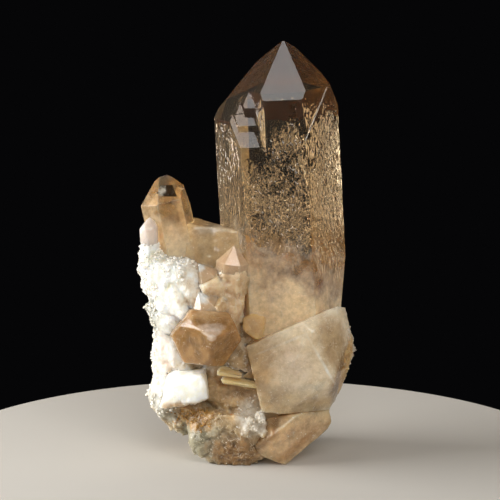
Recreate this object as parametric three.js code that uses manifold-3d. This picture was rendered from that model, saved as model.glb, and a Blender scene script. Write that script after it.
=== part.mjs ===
// A cluster of smoky quartz, as one solid of crystals that grew together on a broken root of milky
// quartz. Millimetres, +Z up. The cluster is seen from -Y, with +X to the right, and the origin is on
// the flat cut that it rests on. Each crystal has the faces of real quartz: six prism faces round its
// long axis, and six end faces that lean over it by a fixed angle. Irregular crystals are given by
// their corners.
import * as THREE from "three";
import { ConvexGeometry } from "three/addons/geometries/ConvexGeometry.js";
import { mergeVertices } from "three/addons/utils/BufferGeometryUtils.js";
import { ImprovedNoise } from "three/addons/math/ImprovedNoise.js";
import Module from "manifold-3d";

const wasm = await Module();
wasm.setup();

const SIDES = 6;
const END_FACE_RISE = 38.21; // degrees, between a quartz end face and the long axis
const CUT_HEIGHT = 0; // the flat cut below

// The large crystal. It is a bundle of columns that grew side by side, so they share their left, right
// and back end faces, and each has front faces of its own. A cap is the height over the tip at which an
// end face crosses the axis.
const MAIN_TIP = [5.6, 4, 108.9];
const MAIN_LEAN = 3.2; // degrees, to the left
const MAIN_SPIN = -5; // degrees, that its front is turned by
const MAIN_LENGTH = 88;
const MAIN_FLAT = 13.7; // from its axis to a prism face
const LEFT_CAP = -2.3;
const RIGHT_CAP = 4.5;
const BACK_CAPS = [3, -4.4, -0.6]; // behind right, behind, and behind left

// The crust. Its left outline is [x, height] from the top down.
const CRUST_EDGE = [
  [-28.1, 55.6], [-28.6, 53.2], [-28.7, 49.6], [-27.8, 47.5], [-27.6, 45.4], [-26.3, 43.3], [-26.1, 40.7],
  [-27, 39.2], [-26, 36.8], [-24.9, 34.1], [-24.6, 31.5], [-25.4, 28.3], [-25.4, 24.6], [-25.1, 20.7],
  [-26.5, 16], [-25.6, 13.4], [-23.9, 10.8], [-21.6, 8.4], [-19.4, 7.1],
];
const CRUST_CENTRE = -16.5; // the x of the upright line that it is turned round
const CRUST_SQUEEZE = 1.05; // its depth, as a share of its width
const CRUST_SLOPE = 0.35; // how steeply it falls to the right
const CRUST_SIDES = 26;
const CRUST_ROUGHNESS = 0.09; // how far a corner moves in or out, as a share of its distance from the line
const CRUST_RAGGED = 1.2; // how far a corner moves up or down
const CRUST_WAVE = 0.16; // the larger swells, as a share of the same distance
const CRUST_PITCH = 7; // from one of those swells to the next

const QUARTZ = new THREE.MeshStandardMaterial({
  name: "smoky_quartz",
  color: 0xb79a74,
  roughness: 0.2,
  metalness: 0,
});

const radians = THREE.MathUtils.degToRad;

// The direction that points up and leans to the left by some degrees.
const leftward = (degrees) => [-Math.sin(radians(degrees)), 0, Math.cos(radians(degrees))];

// A stream of numbers between low and high that is the same at every run.
function randomStream(seed) {
  let state = seed;
  return (low, high) => {
    state = (state * 1664525 + 1013904223) % 4294967296;
    return low + ((high - low) * state) / 4294967296;
  };
}

// A closed three.js geometry as a solid that can be joined and cut.
function solidOf(geometry) {
  const bare = geometry.index ? geometry.toNonIndexed() : geometry.clone();
  bare.deleteAttribute("normal");
  bare.deleteAttribute("uv");
  const merged = mergeVertices(bare, 1e-4);
  return new wasm.Manifold(
    new wasm.Mesh({
      numProp: 3,
      vertProperties: merged.attributes.position.array,
      triVerts: new Uint32Array(merged.index.array),
    }),
  );
}

function geometryOf(solid) {
  const mesh = solid.getMesh();
  return new THREE.BufferGeometry()
    .setAttribute("position", new THREE.BufferAttribute(mesh.vertProperties, 3))
    .setIndex(new THREE.BufferAttribute(mesh.triVerts, 1));
}

// The faces of a crystal as [bearing, rise, distance from the tip]. flats are the distances from the
// axis to the prism faces, from the front one round to the right, and caps those of the end faces: each
// is six numbers, or one for all.
function crystalFaces({ spin, flats, caps, length, extra }) {
  const six = (value) => (Array.isArray(value) ? value : Array(SIDES).fill(value));
  const bearing = (k) => spin + (360 / SIDES) * k;
  const capDistance = (cap) => cap * Math.sin(radians(END_FACE_RISE));
  return [
    ...extra,
    ...six(flats).map((flat, k) => [bearing(k), 0, flat]),
    ...six(caps).map((cap, k) => [bearing(k), END_FACE_RISE, capDistance(cap)]),
    [0, -90, length],
  ];
}

// One crystal, cut from a block face by face. tip is where its axis comes out over the end faces, and
// toward is the way it points. A bearing of 0 faces -Y before the crystal is leant, and a rise below 0
// narrows it downwards.
function crystal({ tip, toward, spin = 0, flats, caps = 0, length, extra = [] }) {
  const at = new THREE.Vector3(...tip);
  const axis = new THREE.Vector3(...toward).normalize();
  const turn = new THREE.Quaternion().setFromUnitVectors(new THREE.Vector3(0, 0, 1), axis);
  const place = new THREE.Matrix4().compose(at, turn, new THREE.Vector3(1, 1, 1));
  const reach = 4 * length;
  let solid = solidOf(new THREE.BoxGeometry(reach, reach, reach).applyMatrix4(place));
  for (const [bearing, rise, distance] of crystalFaces({ spin, flats, caps, length, extra })) {
    const [b, r] = [radians(bearing), radians(rise)];
    const out = new THREE.Vector3(Math.sin(b) * Math.cos(r), -Math.cos(b) * Math.cos(r), Math.sin(r));
    out.applyQuaternion(turn);
    solid = solid.trimByPlane(out.clone().negate().toArray(), -distance - out.dot(at));
  }
  return solid;
}

// A crystal or a broken block given by its corners.
function block(corners) {
  return solidOf(new ConvexGeometry(corners.map((corner) => new THREE.Vector3(...corner))));
}

// A grain of broken quartz: the hull of a few points on an ellipsoid.
function grain(at, radii, random) {
  const points = [];
  for (let i = 0; i < 12; i++) {
    const height = random(-1, 1);
    const bearing = random(0, 2 * Math.PI);
    const ring = Math.sqrt(1 - height * height);
    const unit = [ring * Math.cos(bearing), ring * Math.sin(bearing), height];
    points.push(unit.map((u, axis) => at[axis] + u * radii[axis]));
  }
  return block(points);
}

// A lump with a wavy surface, for quartz that broke or dissolved without flat faces. wave is the height
// of its swells as a share of its size, and pitch the distance between them.
function lump(at, radii, wave, pitch, detail) {
  const noise = new ImprovedNoise();
  const geometry = new THREE.IcosahedronGeometry(1, detail);
  const position = geometry.getAttribute("position");
  const point = new THREE.Vector3();
  for (let i = 0; i < position.count; i++) {
    point.fromBufferAttribute(position, i);
    const where = radii.map((radius, axis) => (point.getComponent(axis) * radius + at[axis]) / pitch);
    const swell = 1 + wave * noise.noise(...where);
    const moved = radii.map((radius, axis) => at[axis] + point.getComponent(axis) * radius * swell);
    position.setXYZ(i, ...moved);
  }
  return solidOf(geometry);
}

// One column of the large crystal. front, right and left are the distances to its front, right front
// and left front faces, and cap is where its front end face crosses the axis.
function column({
  front,
  cap,
  right = MAIN_FLAT,
  left = MAIN_FLAT,
  rightCap = RIGHT_CAP,
  leftCap = LEFT_CAP,
}) {
  return crystal({
    tip: MAIN_TIP,
    toward: leftward(MAIN_LEAN),
    spin: MAIN_SPIN,
    flats: [front, right, MAIN_FLAT, MAIN_FLAT, MAIN_FLAT, left],
    caps: [cap, rightCap, ...BACK_CAPS, leftCap],
    length: MAIN_LENGTH,
    extra: [
      [90, 34.8, 4.36], // the blunt right shoulder, in two facets
      [90, 17.9, 9.55],
      [90, -8.3, 24.1], // the lower right side, that narrows downwards
    ],
  });
}

// The large crystal: its main column, a thin plate on its right front edge, and columns that end in a
// flight of steps on its left front edge.
function mainCrystal() {
  const proud = MAIN_FLAT + 0.15;
  return [
    column({ front: MAIN_FLAT, cap: 2.53, left: 8.45 }),
    column({ front: proud, cap: -7.9, right: 14.9, left: 10, leftCap: -25.4 }),
    column({ front: proud, cap: -9.05, left: 14.1, rightCap: -21.5 }),
    column({ front: 10.87, cap: -7.52, left: 13, rightCap: -19.2 }),
    column({ front: 8.75, cap: -7.2, left: 13, rightCap: -19.2 }),
    column({ front: 9.33, cap: -5.1, left: 10.9, rightCap: -15.75 }),
  ];
}

function leftCrystal() {
  return crystal({
    tip: [-23.3, 0, 73.5],
    toward: leftward(12),
    spin: 14,
    flats: 5.5,
    caps: [0.7, 2.5, 2.5, -1, 0.6, 0.5],
    length: 34,
    extra: [[90, 7, 5.03]],
  });
}

// The lesser crystals in front, between the left crystal and the large one, and the smallest on the
// left.
function frontCrystals() {
  return [
    { tip: [-4, -9.5, 57.2], toward: [0.1, -0.06, 1], flats: 3.6, length: 22 },
    {
      tip: [-13, -10.5, 52.6],
      toward: [-0.42, -0.25, 0.87],
      spin: 12,
      flats: [4.6, 4.2, 4.6, 4.6, 4.6, 3.8],
      length: 18,
    },
    {
      tip: [-13, -14.2, 45.9],
      toward: [-0.4, -0.4, 0.82],
      spin: 8,
      flats: [4.2, 4.6, 5, 5, 4.4, 3.6],
      length: 16,
    },
    {
      tip: [-25.9, -7.2, 64.4],
      toward: [-0.04, -0.06, 1],
      spin: 20,
      flats: 2.2,
      caps: [-0.4, 0, 0.6, 0, -0.5, 0.4],
      length: 16,
    },
  ].map(crystal);
}

// The crystals that lean out of the root behind and to the right.
function backCrystals() {
  return [
    {
      tip: [-6, 19, 60],
      toward: [-0.25, 0.42, 0.87],
      spin: 10,
      flats: [5, 5.4, 5, 4.6, 5.2, 5],
      length: 40,
    },
    {
      tip: [13, 24, 44],
      toward: [0.25, 0.75, 0.6],
      spin: 25,
      flats: [6, 6.6, 6, 5.6, 6, 6.2],
      length: 34,
    },
    {
      tip: [-22, 17, 44],
      toward: [-0.55, 0.6, 0.58],
      spin: -15,
      flats: [4, 4.4, 4, 3.8, 4.2, 4],
      length: 28,
    },
    {
      tip: [25, 12, 33],
      toward: [0.75, 0.45, 0.48],
      spin: 5,
      flats: [4.6, 5, 4.6, 4.4, 4.8, 4.6],
      length: 26,
    },
  ].map(crystal);
}

// The stub of brown crystal that points at the viewer, with three large end faces and three small ones.
function brownStub() {
  return crystal({
    tip: [-9.4, -25, 36],
    toward: [0.1, -0.97, 0.16],
    flats: [7, 7.2, 7.2, 6.8, 8, 8.4],
    caps: [3, 0, 3, 0.6, 3, 0],
    length: 26,
  });
}

// The block of clear quartz behind the small crystals, between the left crystal and the large one.
function saddleBlock() {
  return block([
    [-17, 8, 62.1], [-2, 8, 57.7], [-17, -4, 61.8], [-2, -5, 60],
    [-17, -8, 36], [-2, -8, 36], [-17, 12, 36], [-2, 12, 36],
  ]);
}

// The pale crystal at the right, that lies across the root with its flat side to the viewer.
function paleCrystal() {
  return block([
    [-1, -13.5, 31.6], [12.7, -14.3, 38], [22.4, -9.5, 41.4], [24.4, -7, 40.6], [25.8, -6.5, 34.5],
    [26.8, -4, 30.2], [26.4, -4, 26.2], [23.6, -6, 19], [20.4, -11, 14.4], [8.4, -16.4, 14.6],
    [3, -17, 15.2], [16, -15.6, 36], [21.8, -15, 24.6],
    [-1, 6, 30], [21, 5, 36], [24.5, 6, 28], [19, 8, 15], [3, 8, 14],
  ]);
}

// The crystal at the lower right, whose edge reaches down to the surface.
function footCrystal() {
  return block([
    [5.8, -18, 9.6], [12.8, -15, 14.6], [20.4, -9, 14.2], [21.2, -8, 10.5], [20.2, -7, 8.4],
    [9, -12, 0], [3.1, -13, 2.6], [0.6, -13, 5], [4.6, -14, 13],
    [18, 6, 13], [10, 8, 0], [0, 6, 6],
  ]);
}

// The block at the lower left that catches the most light.
function whiteBlock() {
  return block([
    [-23, -13, 15.4], [-21, -14.5, 21.4], [-13.8, -16.5, 23.6], [-12.4, -16.8, 24.8], [-11.3, -17.2, 22.6],
    [-10.8, -15.8, 18.8], [-15.4, -15, 16.6],
    [-23, -5, 14], [-21, -5, 24], [-11, -5, 25], [-10, -5, 16],
  ]);
}

// Thin blades that stand in the hollow between the stub and the pale crystal, and a wedge over them.
function bladesAndWedge() {
  return [
    block([
      [-7.4, -17.6, 24], [1.8, -18.4, 22.4], [1.4, -18.2, 21.8], [-6.8, -17.4, 22.8],
      [-6, -8, 24], [1, -8, 22],
    ]),
    block([
      [-8.4, -16.8, 26], [-2, -17.2, 24.8], [-2.4, -17, 24.2], [-8.2, -16.6, 24.8],
      [-7, -8, 26], [-2, -8, 24.4],
    ]),
    block([
      [-1.8, -14, 36], [1.8, -14.2, 33.4], [3.6, -13.4, 34.2], [3.9, -12.2, 39.2], [0.5, -12, 40],
      [-1.8, -12.6, 38.7],
      [-2, -8, 38], [4, -8, 38], [1, -8, 32],
    ]),
  ];
}

// The milky root: a broken mass, with rounded lobes low at the front. Its lowest corners are under the
// cut.
function root() {
  return [
    lump([-1, 2, 21], [18, 14, 20], 0.2, 8, 5),
    lump([9, 8, 16], [12, 12, 18], 0.2, 7, 4),
    block([
      [-16.4, -8, 9.4], [-15.6, -9, 5.8], [-14.6, -9.5, 4.4], [-13.3, -10, 3.3], [-11.6, -10.5, 2.1],
      [-10.4, -11, 0.9], [-6.3, -11.5, 0.6], [-2.5, -12, -0.1], [-0.8, -12, 0.2], [0.8, -12.5, 1.5],
      [3.3, -12.5, 1.7], [4, -15, 12], [-3, -16, 14], [-10, -14, 14], [-9, -13, 6], [-2, -14.5, 5],
      [-16, -6, 14], [-12, 6, -1], [-10, -8, -1], [-3, -10, -1], [-14, 8, 12], [8, 10, -1], [8, 10, 14],
    ]),
    lump([-11.4, -8, 7.4], [4.7, 4.8, 6.4], 0.08, 6, 3),
    lump([-3.4, -9.6, 7.4], [5.6, 5, 6.6], 0.2, 3.4, 4),
  ];
}

// The rough crust down the root's left side. It is turned round an upright line, squeezed to its depth
// and sloped, and each of its corners is moved a little, which breaks it into small flat faces.
function crust() {
  const random = randomStream(5);
  const noise = new ImprovedNoise();
  const edge = CRUST_EDGE.map(([x, height]) => new THREE.Vector2(CRUST_CENTRE - x, height));
  const [top, low] = [edge[0].y - 1, edge.at(-1).y - 0.5];
  const profile = [new THREE.Vector2(0, low), ...edge.reverse(), new THREE.Vector2(0, top)];
  const turned = new THREE.LatheGeometry(profile, CRUST_SIDES);
  turned.deleteAttribute("normal");
  turned.deleteAttribute("uv");
  const geometry = mergeVertices(turned, 1e-4);
  const position = geometry.getAttribute("position");
  for (let i = 0; i < position.count; i++) {
    const [depth, height, across] = [position.getX(i), position.getY(i), position.getZ(i)];
    const inward = Math.hypot(depth, across) + across; // 0 at the left edge
    const loose = Math.min(1, 0.3 + inward / 6);
    const wave = CRUST_WAVE * noise.noise(depth / CRUST_PITCH, height / CRUST_PITCH, 0);
    const swell = 1 + loose * (wave + random(-CRUST_ROUGHNESS, CRUST_ROUGHNESS));
    const lift = loose * (4 * wave * depth + random(-CRUST_RAGGED, CRUST_RAGGED));
    position.setXYZ(
      i,
      CRUST_CENTRE + across * swell,
      depth * swell * CRUST_SQUEEZE,
      height - CRUST_SLOPE * inward + lift,
    );
  }
  return solidOf(geometry);
}

// A point inside the crust's surface, level with a point of its outline and at a bearing from it to the
// front.
function inCrust([x, height], bearing, inset) {
  const reach = CRUST_CENTRE - x - inset;
  const across = reach * Math.cos(radians(bearing));
  const depth = reach * Math.sin(radians(bearing));
  return [CRUST_CENTRE - across, -depth * CRUST_SQUEEZE, height - CRUST_SLOPE * (reach - across)];
}

// Small grains that stand out of the crust, most of them low down, and out of the root's front.
function grains() {
  const random = randomStream(11);
  const inset = 0.9;
  const low = CRUST_EDGE.slice(-7);
  const places = [];
  for (const point of [...CRUST_EDGE, ...low, ...low, ...low]) {
    places.push([inCrust(point, random(-25, 60), inset), random(1, 1.7)]);
    places.push([inCrust(point, random(0, 80), inset), random(0.9, 1.5)]);
  }
  for (let i = 0; i < 18; i++) {
    places.push([[random(-2, 4), random(-16, -14.8), random(9, 15)], random(0.8, 1.3)]);
  }
  return places.map(([at, size]) => {
    const radii = [size, size * random(0.8, 1.4), size * random(0.8, 1.4)];
    return grain(at, radii, random);
  });
}

// All of it as one solid, cut off flat below. A grain that happens to touch nothing is left out.
function cluster() {
  const joined = wasm.Manifold.union([
    ...mainCrystal(),
    leftCrystal(),
    ...frontCrystals(),
    ...backCrystals(),
    brownStub(),
    saddleBlock(),
    paleCrystal(),
    footCrystal(),
    whiteBlock(),
    ...bladesAndWedge(),
    ...root(),
    crust(),
    ...grains(),
  ]);
  const solids = joined.trimByPlane([0, 0, 1], CUT_HEIGHT).decompose();
  return solids.reduce((largest, solid) => (solid.volume() > largest.volume() ? solid : largest));
}

const quartz = new THREE.Mesh(geometryOf(cluster()), QUARTZ);
quartz.name = "quartz_cluster";

const part = new THREE.Group();
part.add(quartz);

export default part;
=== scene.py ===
"""The looks of a cluster of smoky quartz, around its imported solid.

Sizes are in millimetres, as in the solid's own source, and a mesh is turned to metres when it is finished.
The cluster is seen from -Y, with +X to the right, and it rests on its flat cut at z = 0.
"""

import logging
import math
from abc import ABC, abstractmethod
from collections.abc import Iterable, Sequence
from dataclasses import dataclass, replace
from enum import Enum

import bmesh
import bpy
import numpy as np
from bmesh.types import BMEdge, BMesh, BMFace, BMVert
from bpy.types import Material, Mesh, NodeSocket, NodeTree, Object
from mathutils import Matrix, Quaternion, Vector, noise


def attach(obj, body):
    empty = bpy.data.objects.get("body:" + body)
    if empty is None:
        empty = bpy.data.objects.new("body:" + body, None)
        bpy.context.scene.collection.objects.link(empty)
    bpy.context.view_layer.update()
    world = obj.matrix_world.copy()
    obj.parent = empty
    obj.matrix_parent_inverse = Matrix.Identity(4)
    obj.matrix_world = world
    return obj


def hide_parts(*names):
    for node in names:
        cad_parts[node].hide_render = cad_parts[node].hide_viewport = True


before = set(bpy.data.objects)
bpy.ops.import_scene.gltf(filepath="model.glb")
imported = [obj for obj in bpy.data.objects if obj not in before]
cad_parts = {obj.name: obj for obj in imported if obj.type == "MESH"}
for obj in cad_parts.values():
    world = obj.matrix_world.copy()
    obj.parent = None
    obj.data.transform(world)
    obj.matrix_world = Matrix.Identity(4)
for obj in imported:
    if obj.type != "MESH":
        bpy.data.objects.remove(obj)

LOG = logging.getLogger("quartz")

MM = 0.001
BODY = "root"
NODE = "quartz_cluster"

RELIEF_PART = "relief_part"  # the mesh attribute that says how much relief a corner has
GRAIN_PART = "grain_part"  # and the one that says how thickly grains lie there
NOISE_SEED = 5  # without one, the noise module's vectors start from the clock

SIDES = 6
BACK_SIDES = (2, 3, 4)
END_FACE_RISE = 38.21  # degrees, between a quartz end face and the long axis
QUARTZ_IOR = 1.544
BLOCK_REACH = 60.0  # from the middle of a block to the faces of the cube that it is cut from
ON_PLANE = 1e-4  # a corner this near to a cutting plane is on it

WAVE_SIZES = 4  # a weathered surface has waves of so many sizes
WAVE_SHRINK = 2.1  # each size over the next
WAVE_FADE = 0.55  # the height of the widest waves, and of each size over the one before
FACET_TILT = 3.0  # how steep the facets of a broken surface are
FACET_SHUFFLE = 3.7  # spreads the facets' seeds, so that neighbours lean in different ways

Corner = tuple[float, float, float]
Span = tuple[float, float]
Plane = tuple[Vector, Vector]  # a point on it, and the way it faces


def linear(hex_colour: str) -> tuple[float, float, float, float]:
    """Turns an sRGB colour to linear light.

    Args:
        hex_colour: The colour, such as "#b79a74".

    Returns:
        Its red, green, blue and alpha.
    """
    shares = [int(hex_colour[i : i + 2], 16) / 255 for i in (1, 3, 5)]
    # The standard's own curve: a straight line in the dark, and a power above it.
    red, green, blue = (
        share / 12.92 if share <= 0.04045 else ((share + 0.055) / 1.055) ** 2.4 for share in shares
    )
    return red, green, blue, 1.0


def add_node(
    tree: NodeTree, kind: str, inputs: dict | Sequence = (), output: int | str = 0, **settings
) -> NodeSocket | None:
    """Adds a node with its settings and links.

    Args:
        tree: The node tree.
        kind: The node's type.
        inputs: For each input, the socket that it is linked to or its value, in order, by name or by number.
        output: The name or number of the output that is wanted.
        **settings: The node's own properties.

    Returns:
        The socket of that output, or None from a node without outputs.
    """
    node = tree.nodes.new(kind)
    for name, value in settings.items():
        setattr(node, name, value)
    for key, value in inputs.items() if isinstance(inputs, dict) else enumerate(inputs):
        if isinstance(value, NodeSocket):
            tree.links.new(value, node.inputs[key])
        else:
            node.inputs[key].default_value = value
    return node.outputs[output] if node.outputs else None


def limited(value: float, low: float = 0.0, high: float = 1.0) -> float:
    """A value, or the nearer of two limits where it is outside them."""
    return min(high, max(low, value))


def leftward(degrees: float) -> Corner:
    """The direction that points up and leans to the left by some degrees."""
    return -math.sin(math.radians(degrees)), 0.0, math.cos(math.radians(degrees))


def six(value: float | Sequence[float]) -> list[float]:
    """One number for each side of a crystal, from six or from one for all."""
    return list(value) if isinstance(value, Sequence) else [value] * SIDES


class Tint(Enum):
    """The tints of milky quartz, of what stains it and of the painted shade inside the left crystal, each as
    its light and its dark colour.
    """

    PALE_GREY = ("#f2e2c6", "#d0ba96")
    SMOKY_BROWN = ("#9c7648", "#6f4f2d")
    ORANGE_BROWN = ("#cf9f68", "#93683c")
    PEACH = ("#f0cc9e", "#c8a070")
    ROSE_WHITE = ("#f2e6da", "#dccab8")
    CREAM = ("#fffdf6", "#f8efdb")
    HONEY = ("#dcc194", "#b6966a")
    PALE_GOLD = ("#ecc488", "#bd9056")
    GOLDEN_BROWN = ("#c8a064", "#947040")
    BEIGE = ("#cdb48c", "#a38a64")
    WARM_BEIGE = ("#f4d8b0", "#d0aa7c")
    ROSE_GREY = ("#e0d2c8", "#bcaca0")
    TAN = ("#d0b08e", "#a68462")
    HOLLOW = ("#d6b688", "#a8875c")
    IRON = ("#b98d4a", "#7d5826")
    RUST = ("#8a4418", "#5a2a10")
    LICHEN_GREY = ("#a3a596", "#6f7268")
    GLASSY_GREY = ("#aca58c", "#7f785e")
    UMBER = ("#a98455", "#6b4d2b")
    SUGAR = ("#e6dccb", "#c4b69e")
    # The dark of the painted shade inside the left crystal.
    SMOKE = ("#34220f", "#150d06")
    SILVER = ("#e4dccb", "#8a7a62")


@dataclass(frozen=True)
class Zone:
    """An egg-shaped place where something differs from what is round it.

    Attributes:
        middle: Its middle.
        reach: Half its width along each axis.
        tint: Its tint.
        edge: How softly it ends, as a share of its reach.
        strength: How strong it is in its middle.
        turn: How far it is turned about the Y axis, in degrees.
    """

    middle: Corner
    reach: Corner
    tint: Tint = Tint.BEIGE
    edge: float = 0.3
    strength: float = 1.0
    turn: float = 0.0


def share_inside(place: Vector, zones: Sequence[Zone]) -> float:
    """How far a place is inside any of some zones.

    Args:
        place: The place.
        zones: The zones.

    Returns:
        The share, from 0 outside to a zone's strength in its middle.
    """
    share = 0.0
    for zone in zones:
        turn = Matrix.Rotation(math.radians(zone.turn), 3, "Y")
        apart = turn @ (Vector(place) - Vector(zone.middle))
        away = Vector(apart[i] / zone.reach[i] for i in range(3)).length
        share = max(share, limited((1 + zone.edge - away) / (2 * zone.edge)) * zone.strength)
    return share


def weathered(place: Vector, size: float) -> float:
    """How high a weathered surface is at a place.

    Args:
        place: The place.
        size: Of its widest waves.

    Returns:
        The height, from about -1 to 1.
    """
    height, part = 0.0, WAVE_FADE
    for _ in range(WAVE_SIZES):
        height += part * noise.noise(place / size)
        size, part = size / WAVE_SHRINK, part * WAVE_FADE
    return height


def faceted(place: Vector, size: float) -> float:
    """How high a surface that is broken into flat facets is at a place.

    Args:
        place: The place.
        size: Of its facets.

    Returns:
        The height, from about -1 to 1.
    """
    place = place / size
    seed = noise.voronoi(place)[1][0]
    return FACET_TILT * (place - seed).dot(noise.noise_vector(seed * FACET_SHUFFLE))


def cut_from_block(planes: Iterable[Plane], middle: Vector, reach: float, grow: float) -> BMesh:
    """Cuts a convex solid from a block, face by face.

    Args:
        planes: The solid's faces.
        middle: A point inside it.
        reach: Half the block's width.
        grow: How far each face is moved outwards.

    Returns:
        The solid.
    """
    solid = bmesh.new()
    bmesh.ops.create_cube(solid, size=2 * reach, matrix=Matrix.Translation(middle))
    for point, facing in planes:
        whole = solid.verts[:] + solid.edges[:] + solid.faces[:]
        plane = {"plane_co": point + facing * grow, "plane_no": facing}
        cut = bmesh.ops.bisect_plane(solid, geom=whole, clear_outer=True, **plane)
        rim = [piece for piece in cut["geom_cut"] if isinstance(piece, BMEdge)]
        if rim:
            bmesh.ops.edgeloop_fill(solid, edges=rim)
    bmesh.ops.recalc_face_normals(solid, faces=solid.faces[:])
    return solid


@dataclass(frozen=True)
class Crystal:
    """One crystal of quartz, with six prism faces round its axis and six end faces that lean over it.

    Attributes:
        tip: Where its axis comes out over the end faces.
        toward: The way it points.
        flats: The distances from the axis to the prism faces, from the front one round to the right.
        length: From the tip to its lower end.
        caps: How far over the tip each end face crosses the axis.
        spin: How far the front is turned to the right, in degrees.
        extra: More faces, as (bearing, rise, distance from the tip).
    """

    tip: Corner
    toward: Corner
    flats: float | Sequence[float]
    length: float
    caps: float | Sequence[float] = 0.0
    spin: float = 0.0
    extra: Sequence[Corner] = ()

    def turn(self) -> Quaternion:
        """The rotation from upright to the crystal's own lean."""
        return Vector((0, 0, 1)).rotation_difference(Vector(self.toward))

    def facing(self, bearing: float, rise: float) -> Vector:
        """The way that the face with some bearing and rise faces, both in degrees."""
        b, r = math.radians(bearing), math.radians(rise)
        return self.turn() @ Vector((math.sin(b) * math.cos(r), -math.cos(b) * math.cos(r), math.sin(r)))

    def planes(self) -> list[Plane]:
        """Works out its faces.

        Returns:
            The faces: the extra ones, the prism, the end faces and the lower end.
        """
        bearings = [self.spin + 360 / SIDES * side for side in range(SIDES)]
        slope = math.sin(math.radians(END_FACE_RISE))
        faces = list(self.extra)
        faces += [(bearing, 0.0, flat) for bearing, flat in zip(bearings, six(self.flats))]
        faces += [(bearing, END_FACE_RISE, cap * slope) for bearing, cap in zip(bearings, six(self.caps))]
        faces.append((0.0, -90.0, self.length))
        tip = Vector(self.tip)
        return [(tip + self.facing(b, r) * distance, self.facing(b, r)) for b, r, distance in faces]

    def solid(self, grow: float = 0.0) -> BMesh:
        """The crystal as a closed solid, with each face moved outwards by grow."""
        return cut_from_block(self.planes(), Vector(self.tip), 2 * self.length, grow)


@dataclass(frozen=True)
class Block:
    """A crystal or a broken block given by its corners."""

    corners: Sequence[Corner]

    def planes(self) -> list[Plane]:
        """Works out its faces, which are those of its corners' convex hull.

        Returns:
            The faces.
        """
        hull = bmesh.new()
        for corner in self.corners:
            hull.verts.new(corner)
        bmesh.ops.convex_hull(hull, input=hull.verts[:])
        hull.normal_update()
        planes = [(face.verts[0].co.copy(), face.normal.copy()) for face in hull.faces]
        hull.free()
        return planes

    def solid(self, grow: float = 0.0) -> BMesh:
        """The block as a closed solid, with each face moved outwards by grow."""
        middle = sum((Vector(corner) for corner in self.corners), Vector()) / len(self.corners)
        return cut_from_block(self.planes(), middle, BLOCK_REACH, grow)


def object_from(name: str, solid: BMesh) -> Object:
    """Makes an object from a solid, and frees the solid.

    Args:
        name: The object's name.
        solid: The solid, in millimetres.

    Returns:
        The object, in millimetres.
    """
    mesh = bpy.data.meshes.new(name)
    solid.to_mesh(mesh)
    solid.free()
    made = bpy.data.objects.new(name, mesh)
    bpy.context.scene.collection.objects.link(made)
    return made


def settle_modifiers(made: Object) -> None:
    """Applies an object's modifiers to its mesh.

    Args:
        made: The object.
    """
    bpy.context.view_layer.update()
    graph = bpy.context.evaluated_depsgraph_get()
    mesh = bpy.data.meshes.new_from_object(made.evaluated_get(graph))
    made.modifiers.clear()
    old = made.data
    made.data = mesh
    bpy.data.meshes.remove(old)


def combine(made: Object, others: Sequence[Object], operation: str) -> None:
    """Joins solids to an object or cuts them from it, and deletes them.

    Args:
        made: The object that is changed.
        others: The solids.
        operation: UNION or DIFFERENCE.
    """
    for other in others:
        modifier = made.modifiers.new("combine", "BOOLEAN")
        modifier.operation = operation
        modifier.solver = "MANIFOLD"
        modifier.object = other
    settle_modifiers(made)
    for other in others:
        mesh = other.data
        bpy.data.objects.remove(other)
        bpy.data.meshes.remove(mesh)


def even_mesh(made: Object, pitch: float) -> None:
    """Gives a closed solid an even mesh of squares.

    Args:
        made: The solid.
        pitch: The width of a square.
    """
    remesh = made.modifiers.new("even_mesh", "REMESH")
    remesh.mode = "VOXEL"
    remesh.voxel_size = pitch
    settle_modifiers(made)


def corners_of(mesh: Mesh) -> tuple[np.ndarray, np.ndarray]:
    """Reads a mesh's corners.

    Args:
        mesh: The mesh.

    Returns:
        Their places, and the ways that they face.
    """
    places, facings = np.empty((2, len(mesh.vertices), 3), np.float32)
    mesh.vertices.foreach_get("co", places.ravel())
    mesh.vertices.foreach_get("normal", facings.ravel())
    return places, facings


def move_corners(mesh: Mesh, places: np.ndarray) -> None:
    """Puts a mesh's corners in new places, but none below the ground.

    Args:
        mesh: The mesh.
        places: The new place of each corner.
    """
    places[:, 2] = places[:, 2].clip(min=0.0)
    mesh.vertices.foreach_set("co", places.ravel())
    mesh.update()


def slice_faces(solid: BMesh, faces: list[BMFace], start: Vector, step: Vector, count: int) -> list[BMFace]:
    """Cuts faces along a row of parallel planes, the middle one first, so that their mesh is even.

    Args:
        solid: The solid that they belong to.
        faces: The faces.
        start: A point on the first plane.
        step: From one plane to the next, square to them.
        count: How many planes there are.

    Returns:
        The faces that they became.
    """
    if not count or not faces:
        return faces
    half = count // 2
    plane = start + step * half
    near = set(faces)
    for face in faces:
        near.update(face.edges, face.verts)
    cut = bmesh.ops.bisect_plane(solid, geom=list(near), plane_co=plane, plane_no=step, dist=ON_PLANE)
    behind, ahead = [], []
    for piece in cut["geom"]:
        if isinstance(piece, BMFace):
            past = (piece.calc_center_median() - plane).dot(step) > 0
            (ahead if past else behind).append(piece)
    done = slice_faces(solid, behind, start, step, half)
    return done + slice_faces(solid, ahead, plane + step, step, count - half - 1)


class Finish(ABC):
    """A finish, which makes its material once."""

    name: str

    def material(self) -> Material:
        """Finds or makes the finish's material.

        Returns:
            The material.
        """
        found = bpy.data.materials.get(self.name)
        if found:
            return found
        made = bpy.data.materials.new(self.name)
        made.use_nodes = True
        made.node_tree.nodes.clear()
        self.build(made.node_tree)
        return made

    @abstractmethod
    def build(self, tree: NodeTree) -> None:
        """Adds the material's nodes to an empty tree."""


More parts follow.
